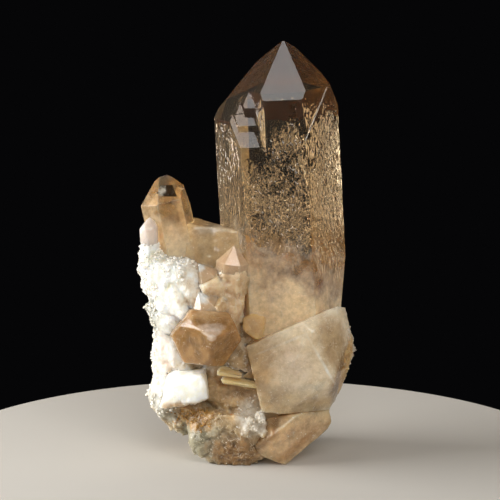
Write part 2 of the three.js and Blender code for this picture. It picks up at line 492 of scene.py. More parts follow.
def dress(piece: Object, finish: Finish) -> None:
    """Turns a piece to metres, gives it its finish and ties it to the solid that it stands for.

    Args:
        piece: The finished piece, in millimetres.
        finish: Its finish.
    """
    piece.data.transform(Matrix.Scale(MM, 4))
    piece.data.materials.clear()
    piece.data.materials.append(finish.material())
    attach(piece, BODY)
    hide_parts(NODE)
    LOG.info("%s: %d faces", piece.name, len(piece.data.polygons))


class Quartz(Finish):
    """What all finishes of quartz share: clouds, stained places, painted highlights along cracks and painted
    glints on flecks.

    Attributes:
        zones: Where its tint differs.
        patch: The size of its clouds.
        cracks: How bright the painted highlights along its fine cracks are.
        flecks: How bright its painted glints are, which stand for small faces inside that catch the light.
        fleck: From one of them to the next.
    """

    zones: Sequence[Zone]
    patch: float
    cracks: float
    flecks: float
    fleck: float

    CLOUD = (0.36, 0.64)  # the noise where a cloud begins and where it is full
    CRACK_SPACING = 0.6  # from one crack to the next, over the size of a cloud
    CRACK_WIDTH = 0.016  # of the noise, from a crack's middle to its edge
    FLECK = (0.2, 0.1)  # from its middle, as a share of fleck, where a fleck begins and is full
    DARK_FLECKS = 0.84  # the share of the flecks that get no painted glint
    PAINTED_GLINT_COLOUR = "#fff4de"  # the colour of the painted highlights along cracks and of the painted glints
    RAGGED = 1.2  # how far the clouds push a zone's edge about, as a share of its reach
    INSIDE = (1.0, 0.94, 0.86)  # how far red, green and blue light go in it, against each other

    def clouds(self, tree: NodeTree, place: NodeSocket) -> tuple[NodeSocket, NodeSocket]:
        """Adds its clouds.

        Args:
            tree: The material's tree.
            place: The socket with the place.

        Returns:
            The sockets with the noise that makes them and with the share that they cover.
        """
        sizes = {"Vector": place, "Scale": 1 / (self.patch * MM), "Detail": 6.0, "Roughness": 0.62}
        cloud = add_node(tree, "ShaderNodeTexNoise", sizes)
        return cloud, add_node(tree, "ShaderNodeMapRange", (cloud, *self.CLOUD))

    def tinted(
        self, tree: NodeTree, place: NodeSocket, clouds: tuple[NodeSocket, NodeSocket], colour: NodeSocket
    ) -> tuple[NodeSocket, NodeSocket]:
        """Adds the stained places, the painted highlights along the cracks and the painted glints on the
        flecks.

        Args:
            tree: The material's tree.
            place: The socket with the place.
            clouds: The sockets that clouds gives.
            colour: The socket with the colour.

        Returns:
            The sockets with the new colour, and with how bright the painted crack highlights and glints are.
        """
        cloud, share = clouds
        for zone in self.zones:
            part = self.part_of(tree, place, cloud, zone)
            mix = {0: part, 6: colour, 7: self.mottled(tree, share, zone.tint)}
            colour = add_node(tree, "ShaderNodeMix", mix, 2, data_type="RGBA")
        # Painted light: highlights along the cracks and glints on the flecks, mixed into the colour toward
        # near white.
        bright = (self.painted_crack_highlights(tree, place, share), self.painted_glint_flecks(tree, place))
        light = add_node(tree, "ShaderNodeMath", bright, operation="MAXIMUM")
        mix = {0: light, 6: colour, 7: linear(self.PAINTED_GLINT_COLOUR)}
        return add_node(tree, "ShaderNodeMix", mix, 2, data_type="RGBA"), light

    def painted_crack_highlights(self, tree: NodeTree, place: NodeSocket, share: NodeSocket) -> NodeSocket:
        """Adds thin wavering lines of painted highlight, which stand for light that comes back from cracks
        inside.

        Args:
            tree: The material's tree.
            place: The socket with the place.
            share: The socket with the clouds, outside which there are no lines.

        Returns:
            The socket with how light they are.
        """
        sizes = {"Vector": place, "Scale": 1 / (self.CRACK_SPACING * self.patch * MM), "Detail": 2.0}
        waves = add_node(tree, "ShaderNodeTexNoise", sizes)
        off_middle = add_node(tree, "ShaderNodeMath", (waves, 0.5), operation="SUBTRACT")
        apart = add_node(tree, "ShaderNodeMath", (off_middle,), operation="ABSOLUTE")
        lines = add_node(tree, "ShaderNodeMapRange", (apart, self.CRACK_WIDTH, 0.0, 0.0, self.cracks))
        return add_node(tree, "ShaderNodeMath", (lines, share), operation="MULTIPLY")

    def painted_glint_flecks(self, tree: NodeTree, place: NodeSocket) -> NodeSocket:
        """Adds scattered painted glints, which stand for small faces inside that catch the light.

        Args:
            tree: The material's tree.
            place: The socket with the place.

        Returns:
            The socket with how light they are.
        """
        sizes = {"Vector": place, "Scale": 1 / (self.fleck * MM)}
        away = add_node(tree, "ShaderNodeTexVoronoi", sizes, "Distance")
        near = add_node(tree, "ShaderNodeMapRange", (away, *self.FLECK, 0.0, self.flecks))
        chance = add_node(tree, "ShaderNodeSeparateXYZ", (away.node.outputs["Color"],))
        chosen = add_node(tree, "ShaderNodeMath", (chance, self.DARK_FLECKS), operation="GREATER_THAN")
        return add_node(tree, "ShaderNodeMath", (near, chosen), operation="MULTIPLY")

    def mottled(self, tree: NodeTree, share: NodeSocket, tint: Tint) -> NodeSocket:
        """Adds the clouded colour of a tint.

        Args:
            tree: The material's tree.
            share: The socket with the share of the dark colour.
            tint: The tint.

        Returns:
            The socket with the colour.
        """
        light, dark = tint.value
        mix = {0: share, 6: linear(light), 7: linear(dark)}
        return add_node(tree, "ShaderNodeMix", mix, 2, data_type="RGBA")

    def part_of(self, tree: NodeTree, place: NodeSocket, cloud: NodeSocket, zone: Zone) -> NodeSocket:
        """Adds how much of a zone's tint there is, with a ragged edge.

        Args:
            tree: The material's tree.
            place: The socket with the place.
            cloud: The socket with the noise that makes the edge ragged.
            zone: The zone.

        Returns:
            The socket with its share.
        """
        middle, reach = (tuple(MM * value for value in size) for size in (zone.middle, zone.reach))
        apart = add_node(tree, "ShaderNodeVectorMath", (place, middle), operation="SUBTRACT")
        if zone.turn:
            turned = {"Vector": apart, "Angle": math.radians(zone.turn)}
            apart = add_node(tree, "ShaderNodeVectorRotate", turned, rotation_type="Y_AXIS")
        shrunk = add_node(tree, "ShaderNodeVectorMath", (apart, reach), operation="DIVIDE")
        away = add_node(tree, "ShaderNodeVectorMath", (shrunk,), "Value", operation="LENGTH")
        ragged = add_node(tree, "ShaderNodeMath", (cloud, self.RAGGED, away), operation="MULTIPLY_ADD")
        edge = 1 + self.RAGGED / 2  # because the noise is a half on the average
        fading = (ragged, edge + zone.edge, edge - zone.edge, 0.0, zone.strength)
        return add_node(tree, "ShaderNodeMapRange", fading, interpolation_type="SMOOTHSTEP")


@dataclass(frozen=True)
class ClearSmokyQuartz(Quartz):
    """Clear smoky quartz, as it grew: a glassy crystal that darkens what is seen through it to brown.

    Its growth left low hillocks on the prism faces, which break up the light, and veils of fine bubbles
    cloud its lower part. Where it is clouded all through, it shows its tint and is lit softly from inside.
    """

    name: str = "clear_smoky_quartz"
    through: str = "#d9c7a8"  # white light after it has gone through depth of the crystal
    depth: float = 25.0
    fog: str = "#d6ccc0"  # the colour of the thin haze high up
    veil: str = "#f8dcb0"  # and of the veils low down
    veil_top: float = 64.5  # hardly any veil above this height
    veil_low: float = 42.0  # full veil below this height
    veil_lean: float = 0.3  # how much higher the veil is for each millimetre to the left
    lift: float = 36.0  # how much the clouds push its height about
    haze: float = 0.028  # the veil's share at the top
    full: float = 0.9  # and low down
    stain: str = "#b0844e"  # the colour of what has seeped into its cracks
    seeped: float = 0.2  # and how strong it is
    wisp: float = 1.4  # the size of the wisps that the veils are made of
    thin: float = 0.72  # the veil's share between them
    fine: float = 9.0  # how many finer sizes of them there are
    speck: float = 0.45  # the size of the finest of them
    hillock: float = 0.9  # from one small hillock to the next
    stretch: float = 0.55  # a hillock's width over its height
    calm: float = 5.0  # the size of the patches where the hillocks are lower
    relief: float = 0.6
    polish: float = 0.005  # how rough the surface is where it is clear
    frost: float = 0.16  # and how much rougher where the veil is full
    glow: float = 5.0  # how far light goes inside the veil
    zones: Sequence[Zone] = ()
    patch: float = 6.0
    cracks: float = 0.4
    flecks: float = 0.8
    fleck: float = 0.9

    # Where the noise begins and ends each pattern, and the values that the pattern goes between.
    WISPS = (0.32, 0.6)
    SPECKS = (0.62, 0.7)
    SPECK_SHARE = (0.0, 0.35)
    STAINS = (0.5, 0.72)
    STAIN_SIZE = 2.5  # over the size of a wisp
    CALM = (0.38, 0.58)
    CALM_RELIEF = (0.25, 1.1)
    STIR_SIZE = 1.6  # of the noise that bends the rows of hillocks
    STIR = (0.9, 0.9, 1.4)  # and how far it bends them
    ROUNDED = 0.35  # how smooth the furrows between hillocks are

    def build(self, tree: NodeTree) -> None:
        """Adds the material's nodes to an empty tree.

        Args:
            tree: The tree.
        """
        place = add_node(tree, "ShaderNodeTexCoord", output="Object")
        clouds = self.clouds(tree, place)
        low = self.lower_part(tree, place, clouds[0])
        mix = {0: low, 6: linear(self.fog), 7: linear(self.veil)}
        pale = add_node(tree, "ShaderNodeMix", mix, 2, data_type="RGBA")
        seeped = self.patches(
            tree, place, self.STAIN_SIZE * self.wisp, self.STAINS, (0.0, self.seeped), self.fine
        )
        mix = {0: seeped, 6: pale, 7: linear(self.stain)}
        pale = add_node(tree, "ShaderNodeMix", mix, 2, data_type="RGBA")
        # The colour takes the painted crack highlights and glints, and light is how bright they are.
        pale, light = self.tinted(tree, place, clouds, pale)
        veiled = self.veils(tree, place, low, light)
        shared = {"IOR": QUARTZ_IOR, "Normal": self.hillocks(tree, place)}
        frosted = (low, self.frost, self.polish)
        shared["Roughness"] = add_node(tree, "ShaderNodeMath", frosted, operation="MULTIPLY_ADD")
        glass = {"Base Color": (1.0, 1.0, 1.0, 1.0), "Transmission Weight": 1.0, **shared}
        milk = {"Base Color": pale, "Subsurface Weight": 1.0, "Subsurface Radius": self.INSIDE, **shared}
        milk["Subsurface Scale"] = self.glow * MM
        shaders = [add_node(tree, "ShaderNodeBsdfPrincipled", inputs) for inputs in (glass, milk)]
        surface = add_node(tree, "ShaderNodeMixShader", (veiled, *shaders))
        # Lamps shine through the clear part, so what is behind it isn't in its shadow.
        shadow = add_node(tree, "ShaderNodeLightPath", output="Is Shadow Ray")
        clear = add_node(tree, "ShaderNodeMath", (1.0, veiled), operation="SUBTRACT")
        passing = add_node(tree, "ShaderNodeMath", (shadow, clear), operation="MULTIPLY")
        open_surface = add_node(tree, "ShaderNodeBsdfTransparent")
        mixed = add_node(tree, "ShaderNodeMixShader", (passing, surface, open_surface))
        takes = [-math.log(share) / (self.depth * MM) for share in linear(self.through)[:3]]
        most = max(takes)
        absorbed = {"Color": (*(1 - take / most for take in takes), 1.0), "Density": most}
        inside = add_node(tree, "ShaderNodeVolumeAbsorption", absorbed)
        add_node(tree, "ShaderNodeOutputMaterial", {"Surface": mixed, "Volume": inside})

    def lower_part(self, tree: NodeTree, place: NodeSocket, cloud: NodeSocket) -> NodeSocket:
        """Adds how much veil a height has, from the haze at the top to the full veil.

        Args:
            tree: The material's tree.
            place: The socket with the place on the crystal.
            cloud: The socket with the noise that makes its edge uneven.

        Returns:
            The socket with the share.
        """
        slope = (place, (self.veil_lean, 0.0, 1.0))
        height = add_node(tree, "ShaderNodeVectorMath", slope, "Value", operation="DOT_PRODUCT")
        lifted = add_node(tree, "ShaderNodeMath", (cloud, self.lift * MM, height), operation="MULTIPLY_ADD")
        top, full = ((limit + self.lift / 2) * MM for limit in (self.veil_top, self.veil_low))
        shares = (lifted, top, full, self.haze, self.full)
        return add_node(tree, "ShaderNodeMapRange", shares, interpolation_type="SMOOTHSTEP")

    def veils(self, tree: NodeTree, place: NodeSocket, low: NodeSocket, light: NodeSocket) -> NodeSocket:
        """Adds how milky each place is.

        Args:
            tree: The material's tree.
            place: The socket with the place on the crystal.
            low: The socket with how much veil its height has.
            light: The socket with how bright the painted crack highlights and glints are.

        Returns:
            The socket with the milky share.
        """
        wisps = self.patches(tree, place, self.wisp, self.WISPS, (self.thin, 1.0), self.fine)
        specks = self.patches(tree, place, self.speck, self.SPECKS, self.SPECK_SHARE)
        patchy = add_node(tree, "ShaderNodeMath", (low, wisps), operation="MULTIPLY")
        finer = (specks, patchy, patchy)
        veiled = add_node(tree, "ShaderNodeMath", finer, operation="MULTIPLY_ADD", use_clamp=True)
        # Low down, the places with painted glints are milky too.
        glint = add_node(tree, "ShaderNodeMath", (light, low), operation="MULTIPLY")
        return add_node(tree, "ShaderNodeMath", (veiled, glint), operation="MAXIMUM")

    def patches(
        self, tree: NodeTree, place: NodeSocket, size: float, spread: Span, share: Span, detail: float = 3.0
    ) -> NodeSocket:
        """Adds ragged patches.

        Args:
            tree: The material's tree.
            place: The socket with the place on the crystal.
            size: Of the largest patches.
            spread: Between which values of the noise they begin and are full.
            share: The value outside them, and the value inside.
            detail: How many finer sizes there are.

        Returns:
            The socket with the value.
        """
        sizes = {"Vector": place, "Scale": 1 / (size * MM), "Detail": detail, "Roughness": 0.68}
        cloud = add_node(tree, "ShaderNodeTexNoise", sizes)
        return add_node(tree, "ShaderNodeMapRange", (cloud, *spread, *share))

    def hillocks(self, tree: NodeTree, place: NodeSocket) -> NodeSocket:
        """Adds the fine relief of the prism faces.

        Args:
            tree: The material's tree.
            place: The socket with the place on the crystal.

        Returns:
            The socket with the surface's direction.
        """
        sizes = {"Vector": place, "Scale": 1 / (self.STIR_SIZE * MM), "Detail": 2.0}
        stir = add_node(tree, "ShaderNodeTexNoise", sizes, "Color")
        bent = (stir, tuple(size * MM for size in self.STIR), place)
        stirred = add_node(tree, "ShaderNodeVectorMath", bent, operation="MULTIPLY_ADD")
        drawn = add_node(tree, "ShaderNodeMapping", {"Vector": stirred, "Scale": (1.0, 1.0, self.stretch)})
        sizes = {"Vector": drawn, "Scale": 1 / (self.hillock * MM), "Smoothness": self.ROUNDED}
        cells = add_node(tree, "ShaderNodeTexVoronoi", sizes, feature="SMOOTH_F1")
        calm = self.patches(tree, place, self.calm, self.CALM, self.CALM_RELIEF)
        uneven = add_node(tree, "ShaderNodeMath", (cells, calm), operation="MULTIPLY")
        part = add_node(tree, "ShaderNodeAttribute", output="Fac", attribute_name=RELIEF_PART)
        relief = add_node(tree, "ShaderNodeMath", (uneven, part), operation="MULTIPLY")
        bump = {"Height": relief, "Strength": 1.0, "Distance": self.relief * MM}
        return add_node(tree, "ShaderNodeBump", bump, invert=True)


@dataclass(frozen=True)
class MilkyQuartz(Quartz):
    """Milky quartz, broken or grown rough: fine bubbles cloud it, so that light spreads inside it."""

    name: str
    tint: Tint
    zones: Sequence[Zone] = ()
    clear: float = 0.25
    roughness: float = 0.2
    patch: float = 5.0
    grain: float = 0.9  # the size of its finest relief
    relief: float = 0.12
    spread: float = 4.0  # how far light goes inside it
    cracks: float = 0.3
    flecks: float = 0.5
    fleck: float = 0.8
    index: float = QUARTZ_IOR  # its refraction against what is round it

    def build(self, tree: NodeTree) -> None:
        """Adds the material's nodes to an empty tree.

        Args:
            tree: The tree.
        """
        place = add_node(tree, "ShaderNodeTexCoord", output="Object")
        clouds = self.clouds(tree, place)
        # The colour takes the painted crack highlights and glints.
        colour, _ = self.tinted(tree, place, clouds, self.mottled(tree, clouds[1], self.tint))
        sizes = {"Vector": place, "Scale": 1 / (self.grain * MM), "Detail": 4.0, "Roughness": 0.6}
        fine = add_node(tree, "ShaderNodeTexNoise", sizes)
        bump = {"Height": fine, "Strength": 1.0, "Distance": self.relief * MM}
        inputs = {
            "Base Color": colour,
            "Roughness": self.roughness,
            "IOR": self.index,
            "Transmission Weight": self.clear,
            "Subsurface Weight": 1.0 if self.spread else 0.0,
            "Subsurface Radius": self.INSIDE,
            "Subsurface Scale": self.spread * MM,
            "Normal": add_node(tree, "ShaderNodeBump", bump),
        }
        surface = add_node(tree, "ShaderNodeBsdfPrincipled", inputs)
        add_node(tree, "ShaderNodeOutputMaterial", {"Surface": surface})


@dataclass(frozen=True)
class PalePaper(Finish):
    """Uncoated paper, rolled matt, which the cluster stands on and which shows no highlight."""

    name: str = "pale_matt_paper"
    colour: str = "#c9c4bb"
    roughness: float = 0.9

    def build(self, tree: NodeTree) -> None:
        """Adds the material's nodes to an empty tree.

        Args:
            tree: The tree.
        """
        inputs = {"Base Color": linear(self.colour), "Roughness": self.roughness}
        surface = add_node(tree, "ShaderNodeBsdfPrincipled", inputs)
        add_node(tree, "ShaderNodeOutputMaterial", {"Surface": surface})


def clouded(name: str, tint: Tint, share: float, **settings) -> ClearSmokyQuartz:
    """Makes the finish of a crystal that is clouded all through.

    Args:
        name: Its name.
        tint: Its tint.
        share: How milky it is, from 0 to 1.
        **settings: What else differs.

    Returns:
        The finish.
    """
    light, dark = tint.value
    colours = {"through": "#e2cba2", "depth": 14.0, "fog": light, "veil": light, "stain": dark}
    veils = {"wisp": 3.0, "thin": 0.85, "fine": 4.0, "seeped": 0.35, "patch": 3.5}
    return ClearSmokyQuartz(name, **colours, haze=share, full=share, **{**veils, **settings})


# Quartz full of healed cracks, as it grew: pale grey and glossy, with a brown band of painted shadow and a
# golden rim of painted light on its right.
PALE_GREY_QUARTZ = clouded(
    "pale_grey_quartz", Tint.PALE_GREY, 0.75, cracks=0.7, flecks=0.9, thin=0.65,
    zones=[
        Zone((20.6, -10, 32), (3.6, 8, 7), Tint.BEIGE, edge=0.5, strength=0.9, turn=15),
        Zone((14, -12, 15.6), (8, 8, 2.2), Tint.HONEY, edge=0.6, strength=0.8, turn=12),
        # A brown band of painted shadow on the right.
        Zone((22.8, -9, 23.5), (1.9, 8, 6.6), Tint.SMOKY_BROWN, edge=0.5, strength=0.9, turn=-18),
        # A golden rim of painted light along the right edge.
        Zone((24.6, -6, 25), (1.2, 8, 9), Tint.PALE_GOLD, strength=0.9, turn=-12),
        Zone((8, -15, 17), (12, 8, 4), Tint.HONEY, edge=0.6, strength=0.6),
        Zone((0, -14, 24), (6, 8, 10), Tint.HOLLOW, edge=0.9, strength=0.9),
        Zone((17.8, -12, 29), (0.4, 8, 7), Tint.CREAM, edge=0.5, strength=0.9, turn=29),
        Zone((9, -14, 33), (7, 8, 0.3), Tint.CREAM, edge=0.5, strength=0.4, turn=24),
        Zone((11, -14, 27), (3.5, 8, 4), Tint.ROSE_WHITE, edge=0.9, strength=0.35),
    ],
)
# Smoky quartz that is nearly opaque, with worn edges: dull brown, with peach and orange places.
SMOKY_BROWN_QUARTZ = clouded(
    "smoky_brown_quartz", Tint.SMOKY_BROWN, 0.92, cracks=0.3, flecks=0.8, thin=0.7,
    zones=[
        Zone((-12, -22, 42), (8, 9, 3), Tint.PEACH, edge=0.5, strength=0.7),
        Zone((-3, -20, 34), (5, 12, 9), Tint.ORANGE_BROWN, edge=0.8, strength=0.8),
        Zone((-15, -22, 34), (4.5, 8, 7), Tint.UMBER, edge=0.8, strength=0.8),
        Zone((-9.6, -22, 38.4), (3.2, 8, 0.8), Tint.ROSE_WHITE, strength=0.4),
        Zone((-9.6, -22, 37.3), (2.2, 8, 0.8), Tint.ROSE_WHITE, strength=0.4),
        Zone((-9.5, -22, 36.2), (1.1, 8, 0.8), Tint.ROSE_WHITE, strength=0.4),
    ],
)
# Clear quartz stained by iron: it glows orange-brown, under a white haze that thickens downwards.
ORANGE_BROWN_QUARTZ = ClearSmokyQuartz(
    "orange_brown_quartz", through="#ead4ac", depth=11.0, fog="#e0ccaa", veil="#ecd8b4",
    veil_top=72.0, veil_low=50.0, veil_lean=0.0, haze=0.12, full=1.0, stain="#cfa066",
)
# Painted shade: a dark block inside the left crystal, for the dark backdrop seen through its facets. It has
# hardly any gloss: soot-brown, in one place silvery.
PAINTED_SHADE_BLOCK = MilkyQuartz(
    "painted_shade_block", Tint.SMOKE, clear=0.0, roughness=0.4, patch=0.8, spread=0.0, index=1.05,
    zones=[Zone((-22.6, -3, 70.2), (0.8, 4, 0.9), Tint.SILVER, edge=0.7, strength=0.8)],
)
# Quartz with iron in its cracks and worn edges: peach, glassy inside, with brown bands.
PEACH_BROWN_QUARTZ = clouded(
    "peach_brown_quartz", Tint.PEACH, 0.72, thin=0.55, fleck=1.1, cracks=0.6, flecks=1.0,
    zones=[
        Zone((4.4, -13, 9), (2, 8, 6), Tint.SMOKY_BROWN, edge=0.4, strength=0.8, turn=-35),
        Zone((12, -13, 5), (8, 8, 1.2), Tint.ORANGE_BROWN, edge=0.7, strength=0.7, turn=38),
    ],
)
# A small crystal of milky quartz: even, soft and greyish pink.
ROSE_GREY_QUARTZ = clouded("rose_grey_quartz", Tint.ROSE_GREY, 0.75)
# Small crystals with faces as they grew: smooth enough to mirror the lamps, and with a white painted
# highlight on two facets.
GLOSSY_TAN_QUARTZ = clouded(
    "glossy_tan_quartz", Tint.TAN, 0.8, frost=0.02,
    zones=[
        # Painted highlights: a white facet on each of two small crystals.
        Zone((-13.2, -12, 51.7), (2, 5, 1.3), Tint.CREAM, strength=0.9, turn=30),
        Zone((-12.8, -15, 45), (2.3, 4, 1.7), Tint.CREAM, strength=0.9, turn=-30),
    ],
)
# Milky quartz broken across: opaque white, with iron stain along its foot.
CREAM_WHITE_QUARTZ = MilkyQuartz(
    "cream_white_quartz", Tint.CREAM, clear=0.0, roughness=0.35, patch=2.0,
    zones=[Zone((-17, -16, 15.8), (8, 5, 1.4), Tint.IRON, edge=0.5, strength=0.8)],
)
# Thin splinters of quartz that let light through: pale gold.
PALE_GOLDEN_QUARTZ = clouded("pale_golden_quartz", Tint.PALE_GOLD, 0.8, frost=0.2)
# Quartz with a rough, etched face: golden brown, without a mirror image. Its brown is partly its own colour
# and partly painted shade, where it sits in shadow.
GOLDEN_BROWN_QUARTZ = clouded("golden_brown_quartz", Tint.GOLDEN_BROWN, 0.9, frost=0.7, thin=0.6)
# Quartz with finely spread iron: an even honey colour.
HONEY_QUARTZ = clouded("honey_quartz", Tint.HONEY, 0.75, cracks=0.4)
# Quartz between the crystals, broken and healed: beige and glassy, with a sugary top edge.
BEIGE_QUARTZ = clouded(
    "beige_quartz", Tint.BEIGE, 0.75, thin=0.55,
    zones=[Zone((-9, -6, 60.5), (8, 9, 0.9), Tint.SUGAR, edge=0.7, strength=0.6, turn=8)],
)
# The broken root of milky quartz: beige, white where a crust of fine crystals covers it, stained by iron,
# and umber and grey towards the bottom.
CRUSTED_MILKY_QUARTZ = MilkyQuartz(
    "crusted_milky_quartz", Tint.BEIGE, clear=0.12, roughness=0.3, patch=3.0, relief=0.3, spread=3.0,
    cracks=0.8, flecks=0.9, fleck=1.0,
    zones=[
        Zone((-7, -12, 45), (9, 9, 11), Tint.WARM_BEIGE, edge=0.5),
        Zone((-4, -12, 19.5), (9, 8, 6), Tint.HOLLOW, edge=0.5),
        Zone((-24, -4, 41), (11, 20, 25), Tint.CREAM, edge=0.4),
        Zone((-17, -16, 25), (9, 7, 4.5), Tint.CREAM),
        Zone((-24, -10, 27), (5, 8, 7), Tint.ROSE_WHITE, edge=0.5, strength=0.9),
        Zone((-8.5, -14, 43), (1.6, 5, 1.4), Tint.IRON, edge=0.6, strength=0.5),
        Zone((0, -13, 42), (2.4, 5, 1.6), Tint.IRON, edge=0.6, strength=0.4),
        Zone((-25.4, -3, 38.5), (2.6, 6, 6), Tint.LICHEN_GREY, strength=0.8),
        Zone((-24, -8, 13), (6, 8, 5), Tint.LICHEN_GREY, strength=0.6),
        # Grey and umber towards the bottom.
        Zone((-12, -9, 4), (8, 12, 8), Tint.GLASSY_GREY),
        Zone((-16, -13, 12.4), (6.5, 6, 3.6), Tint.IRON, strength=0.9),
        Zone((-19, -12, 10.5), (1.6, 4, 1.4), Tint.RUST),
        Zone((-3.5, -12, 3.5), (7, 9, 5.5), Tint.UMBER, edge=0.5),
        Zone((0.8, -15, 13.6), (3.8, 6, 4.8), Tint.SUGAR),
    ],
)
# Grains of quartz like sugar: too small to let light through, white, beige or brown with iron.
SUGARY_WHITE_QUARTZ = MilkyQuartz("sugary_white_quartz", Tint.CREAM, clear=0.0, patch=2.0, spread=0.0)
SUGARY_BEIGE_QUARTZ = MilkyQuartz("sugary_beige_quartz", Tint.SUGAR, clear=0.0, patch=2.0, spread=0.0)
IRON_STAINED_QUARTZ = MilkyQuartz("iron_stained_quartz", Tint.IRON, clear=0.0, patch=1.0, spread=0.0)


@dataclass(frozen=True)
class Lamp:
    """A softbox: its middle, its width and height, how bright its face is, and if faces mirror it."""

    name: str
    middle: Corner
    width: float
    height: float
    brightness: float
    aim: Corner = (0.0, 0.0, 54.0)
    colour: str = "#ffffff"
    mirrored: bool = True

    def place(self) -> None:
        """Adds the softbox to the scene."""
        lamp = bpy.data.lights.new(self.name, "AREA")
        lamp.shape = "RECTANGLE"
        lamp.size, lamp.size_y = self.width * MM, self.height * MM
        lamp.energy = self.brightness * math.pi * lamp.size * lamp.size_y
        lamp.color = linear(self.colour)[:3]
        made = bpy.data.objects.new(self.name, lamp)
        made.location = Vector(self.middle) * MM
        away = Vector(self.middle) - Vector(self.aim)
        made.rotation_euler = away.to_track_quat("Z", "Y").to_euler()
        made.visible_glossy = self.mirrored
        bpy.context.scene.collection.objects.link(made)


@dataclass(frozen=True)
class Studio:
    """The camera, the lamps and the floor."""

    target: Corner = (0.0, 0.0, 54.2)
    distance: float = 620.0
    camera_rise: float = 10.0  # degrees, that the camera looks down by
    view_width: float = 11.89  # degrees
    floor_radius: float = 85.0
    floor_thickness: float = 3.0
    dark: str = "#060607"  # what is round the lamps
    warm: str = "#ffe9cf"
    bounces: int = 16  # of a ray of light, through clear crystals too
    bounces_through: int = 14
    bounces_off: int = 8

    def lamps(self) -> list[Lamp]:
        """Lists the lamps.

        Returns:
            Those in front, which light the faces, and those behind, which shine through the clear crystals.
        """
        rear = {"colour": self.warm, "mirrored": False}
        return [
            Lamp("overhead_softbox", (-60, -138, 470), 96, 84, 3.4, aim=(-20, 0, 85)),
            Lamp("small_overhead_softbox", (46, -258, 470), 50, 50, 8.0, colour="#fff0e6"),
            Lamp("left_softbox", (-412, -40, 130), 360, 320, 10.0),
            Lamp("front_softbox", (120, -430, 300), 360, 300, 4.8),
            Lamp("right_softbox", (430, -160, 110), 240, 300, 1.6, mirrored=False),
            Lamp("rear_left_softbox", (-112, 288, 60), 80, 260, 1.2, **rear),
            Lamp("rear_right_softbox", (112, 288, 60), 80, 260, 1.1, **rear),
            Lamp("far_right_softbox", (290, 261, 60), 70, 260, 0.4, **rear),
            Lamp("rear_top_softbox", (0, 300, 200), 220, 80, 1.2, **rear),
        ]

    def build(self) -> None:
        """Adds the camera, the lamps, the floor and the dark around them."""
        self.add_camera()
        for lamp in self.lamps():
            lamp.place()
        self.add_floor()
        world = bpy.data.worlds.new("dim_studio")
        world.use_nodes = True
        world.node_tree.nodes.clear()
        dim = {"Color": linear(self.dark), "Strength": 1.0}
        glow = add_node(world.node_tree, "ShaderNodeBackground", dim)
        add_node(world.node_tree, "ShaderNodeOutputWorld", {"Surface": glow})
        bpy.context.scene.world = world
        bpy.context.scene.view_settings.view_transform = "Standard"
        cycles = bpy.context.scene.cycles
        cycles.max_bounces = self.bounces
        cycles.transmission_bounces = self.bounces_through
        cycles.transparent_max_bounces = self.bounces
        cycles.glossy_bounces = self.bounces_off

    def add_camera(self) -> None:
        """Adds the camera at the photograph's angle."""
        rise = math.radians(self.camera_rise)
        away = Vector((0, -math.cos(rise), math.sin(rise)))
        camera = bpy.data.cameras.new("camera")
        camera.sensor_fit = "HORIZONTAL"
        camera.angle = math.radians(self.view_width)
        made = bpy.data.objects.new("camera", camera)
        made.location = (Vector(self.target) + away * self.distance) * MM
        made.rotation_euler = away.to_track_quat("Z", "Y").to_euler()
        bpy.context.scene.collection.objects.link(made)
        bpy.context.scene.camera = made

    def add_floor(self) -> None:
        """Adds a round floor."""
        solid = bmesh.new()
        bmesh.ops.create_cone(
            solid,
            cap_ends=True,
            segments=128,
            radius1=self.floor_radius,
            radius2=self.floor_radius,
            depth=self.floor_thickness,
            matrix=Matrix.Translation((0, 0, -self.floor_thickness / 2)),
        )
        floor = object_from("floor", solid)
        floor.data.transform(Matrix.Scale(MM, 4))
        floor.data.materials.append(PalePaper().material())


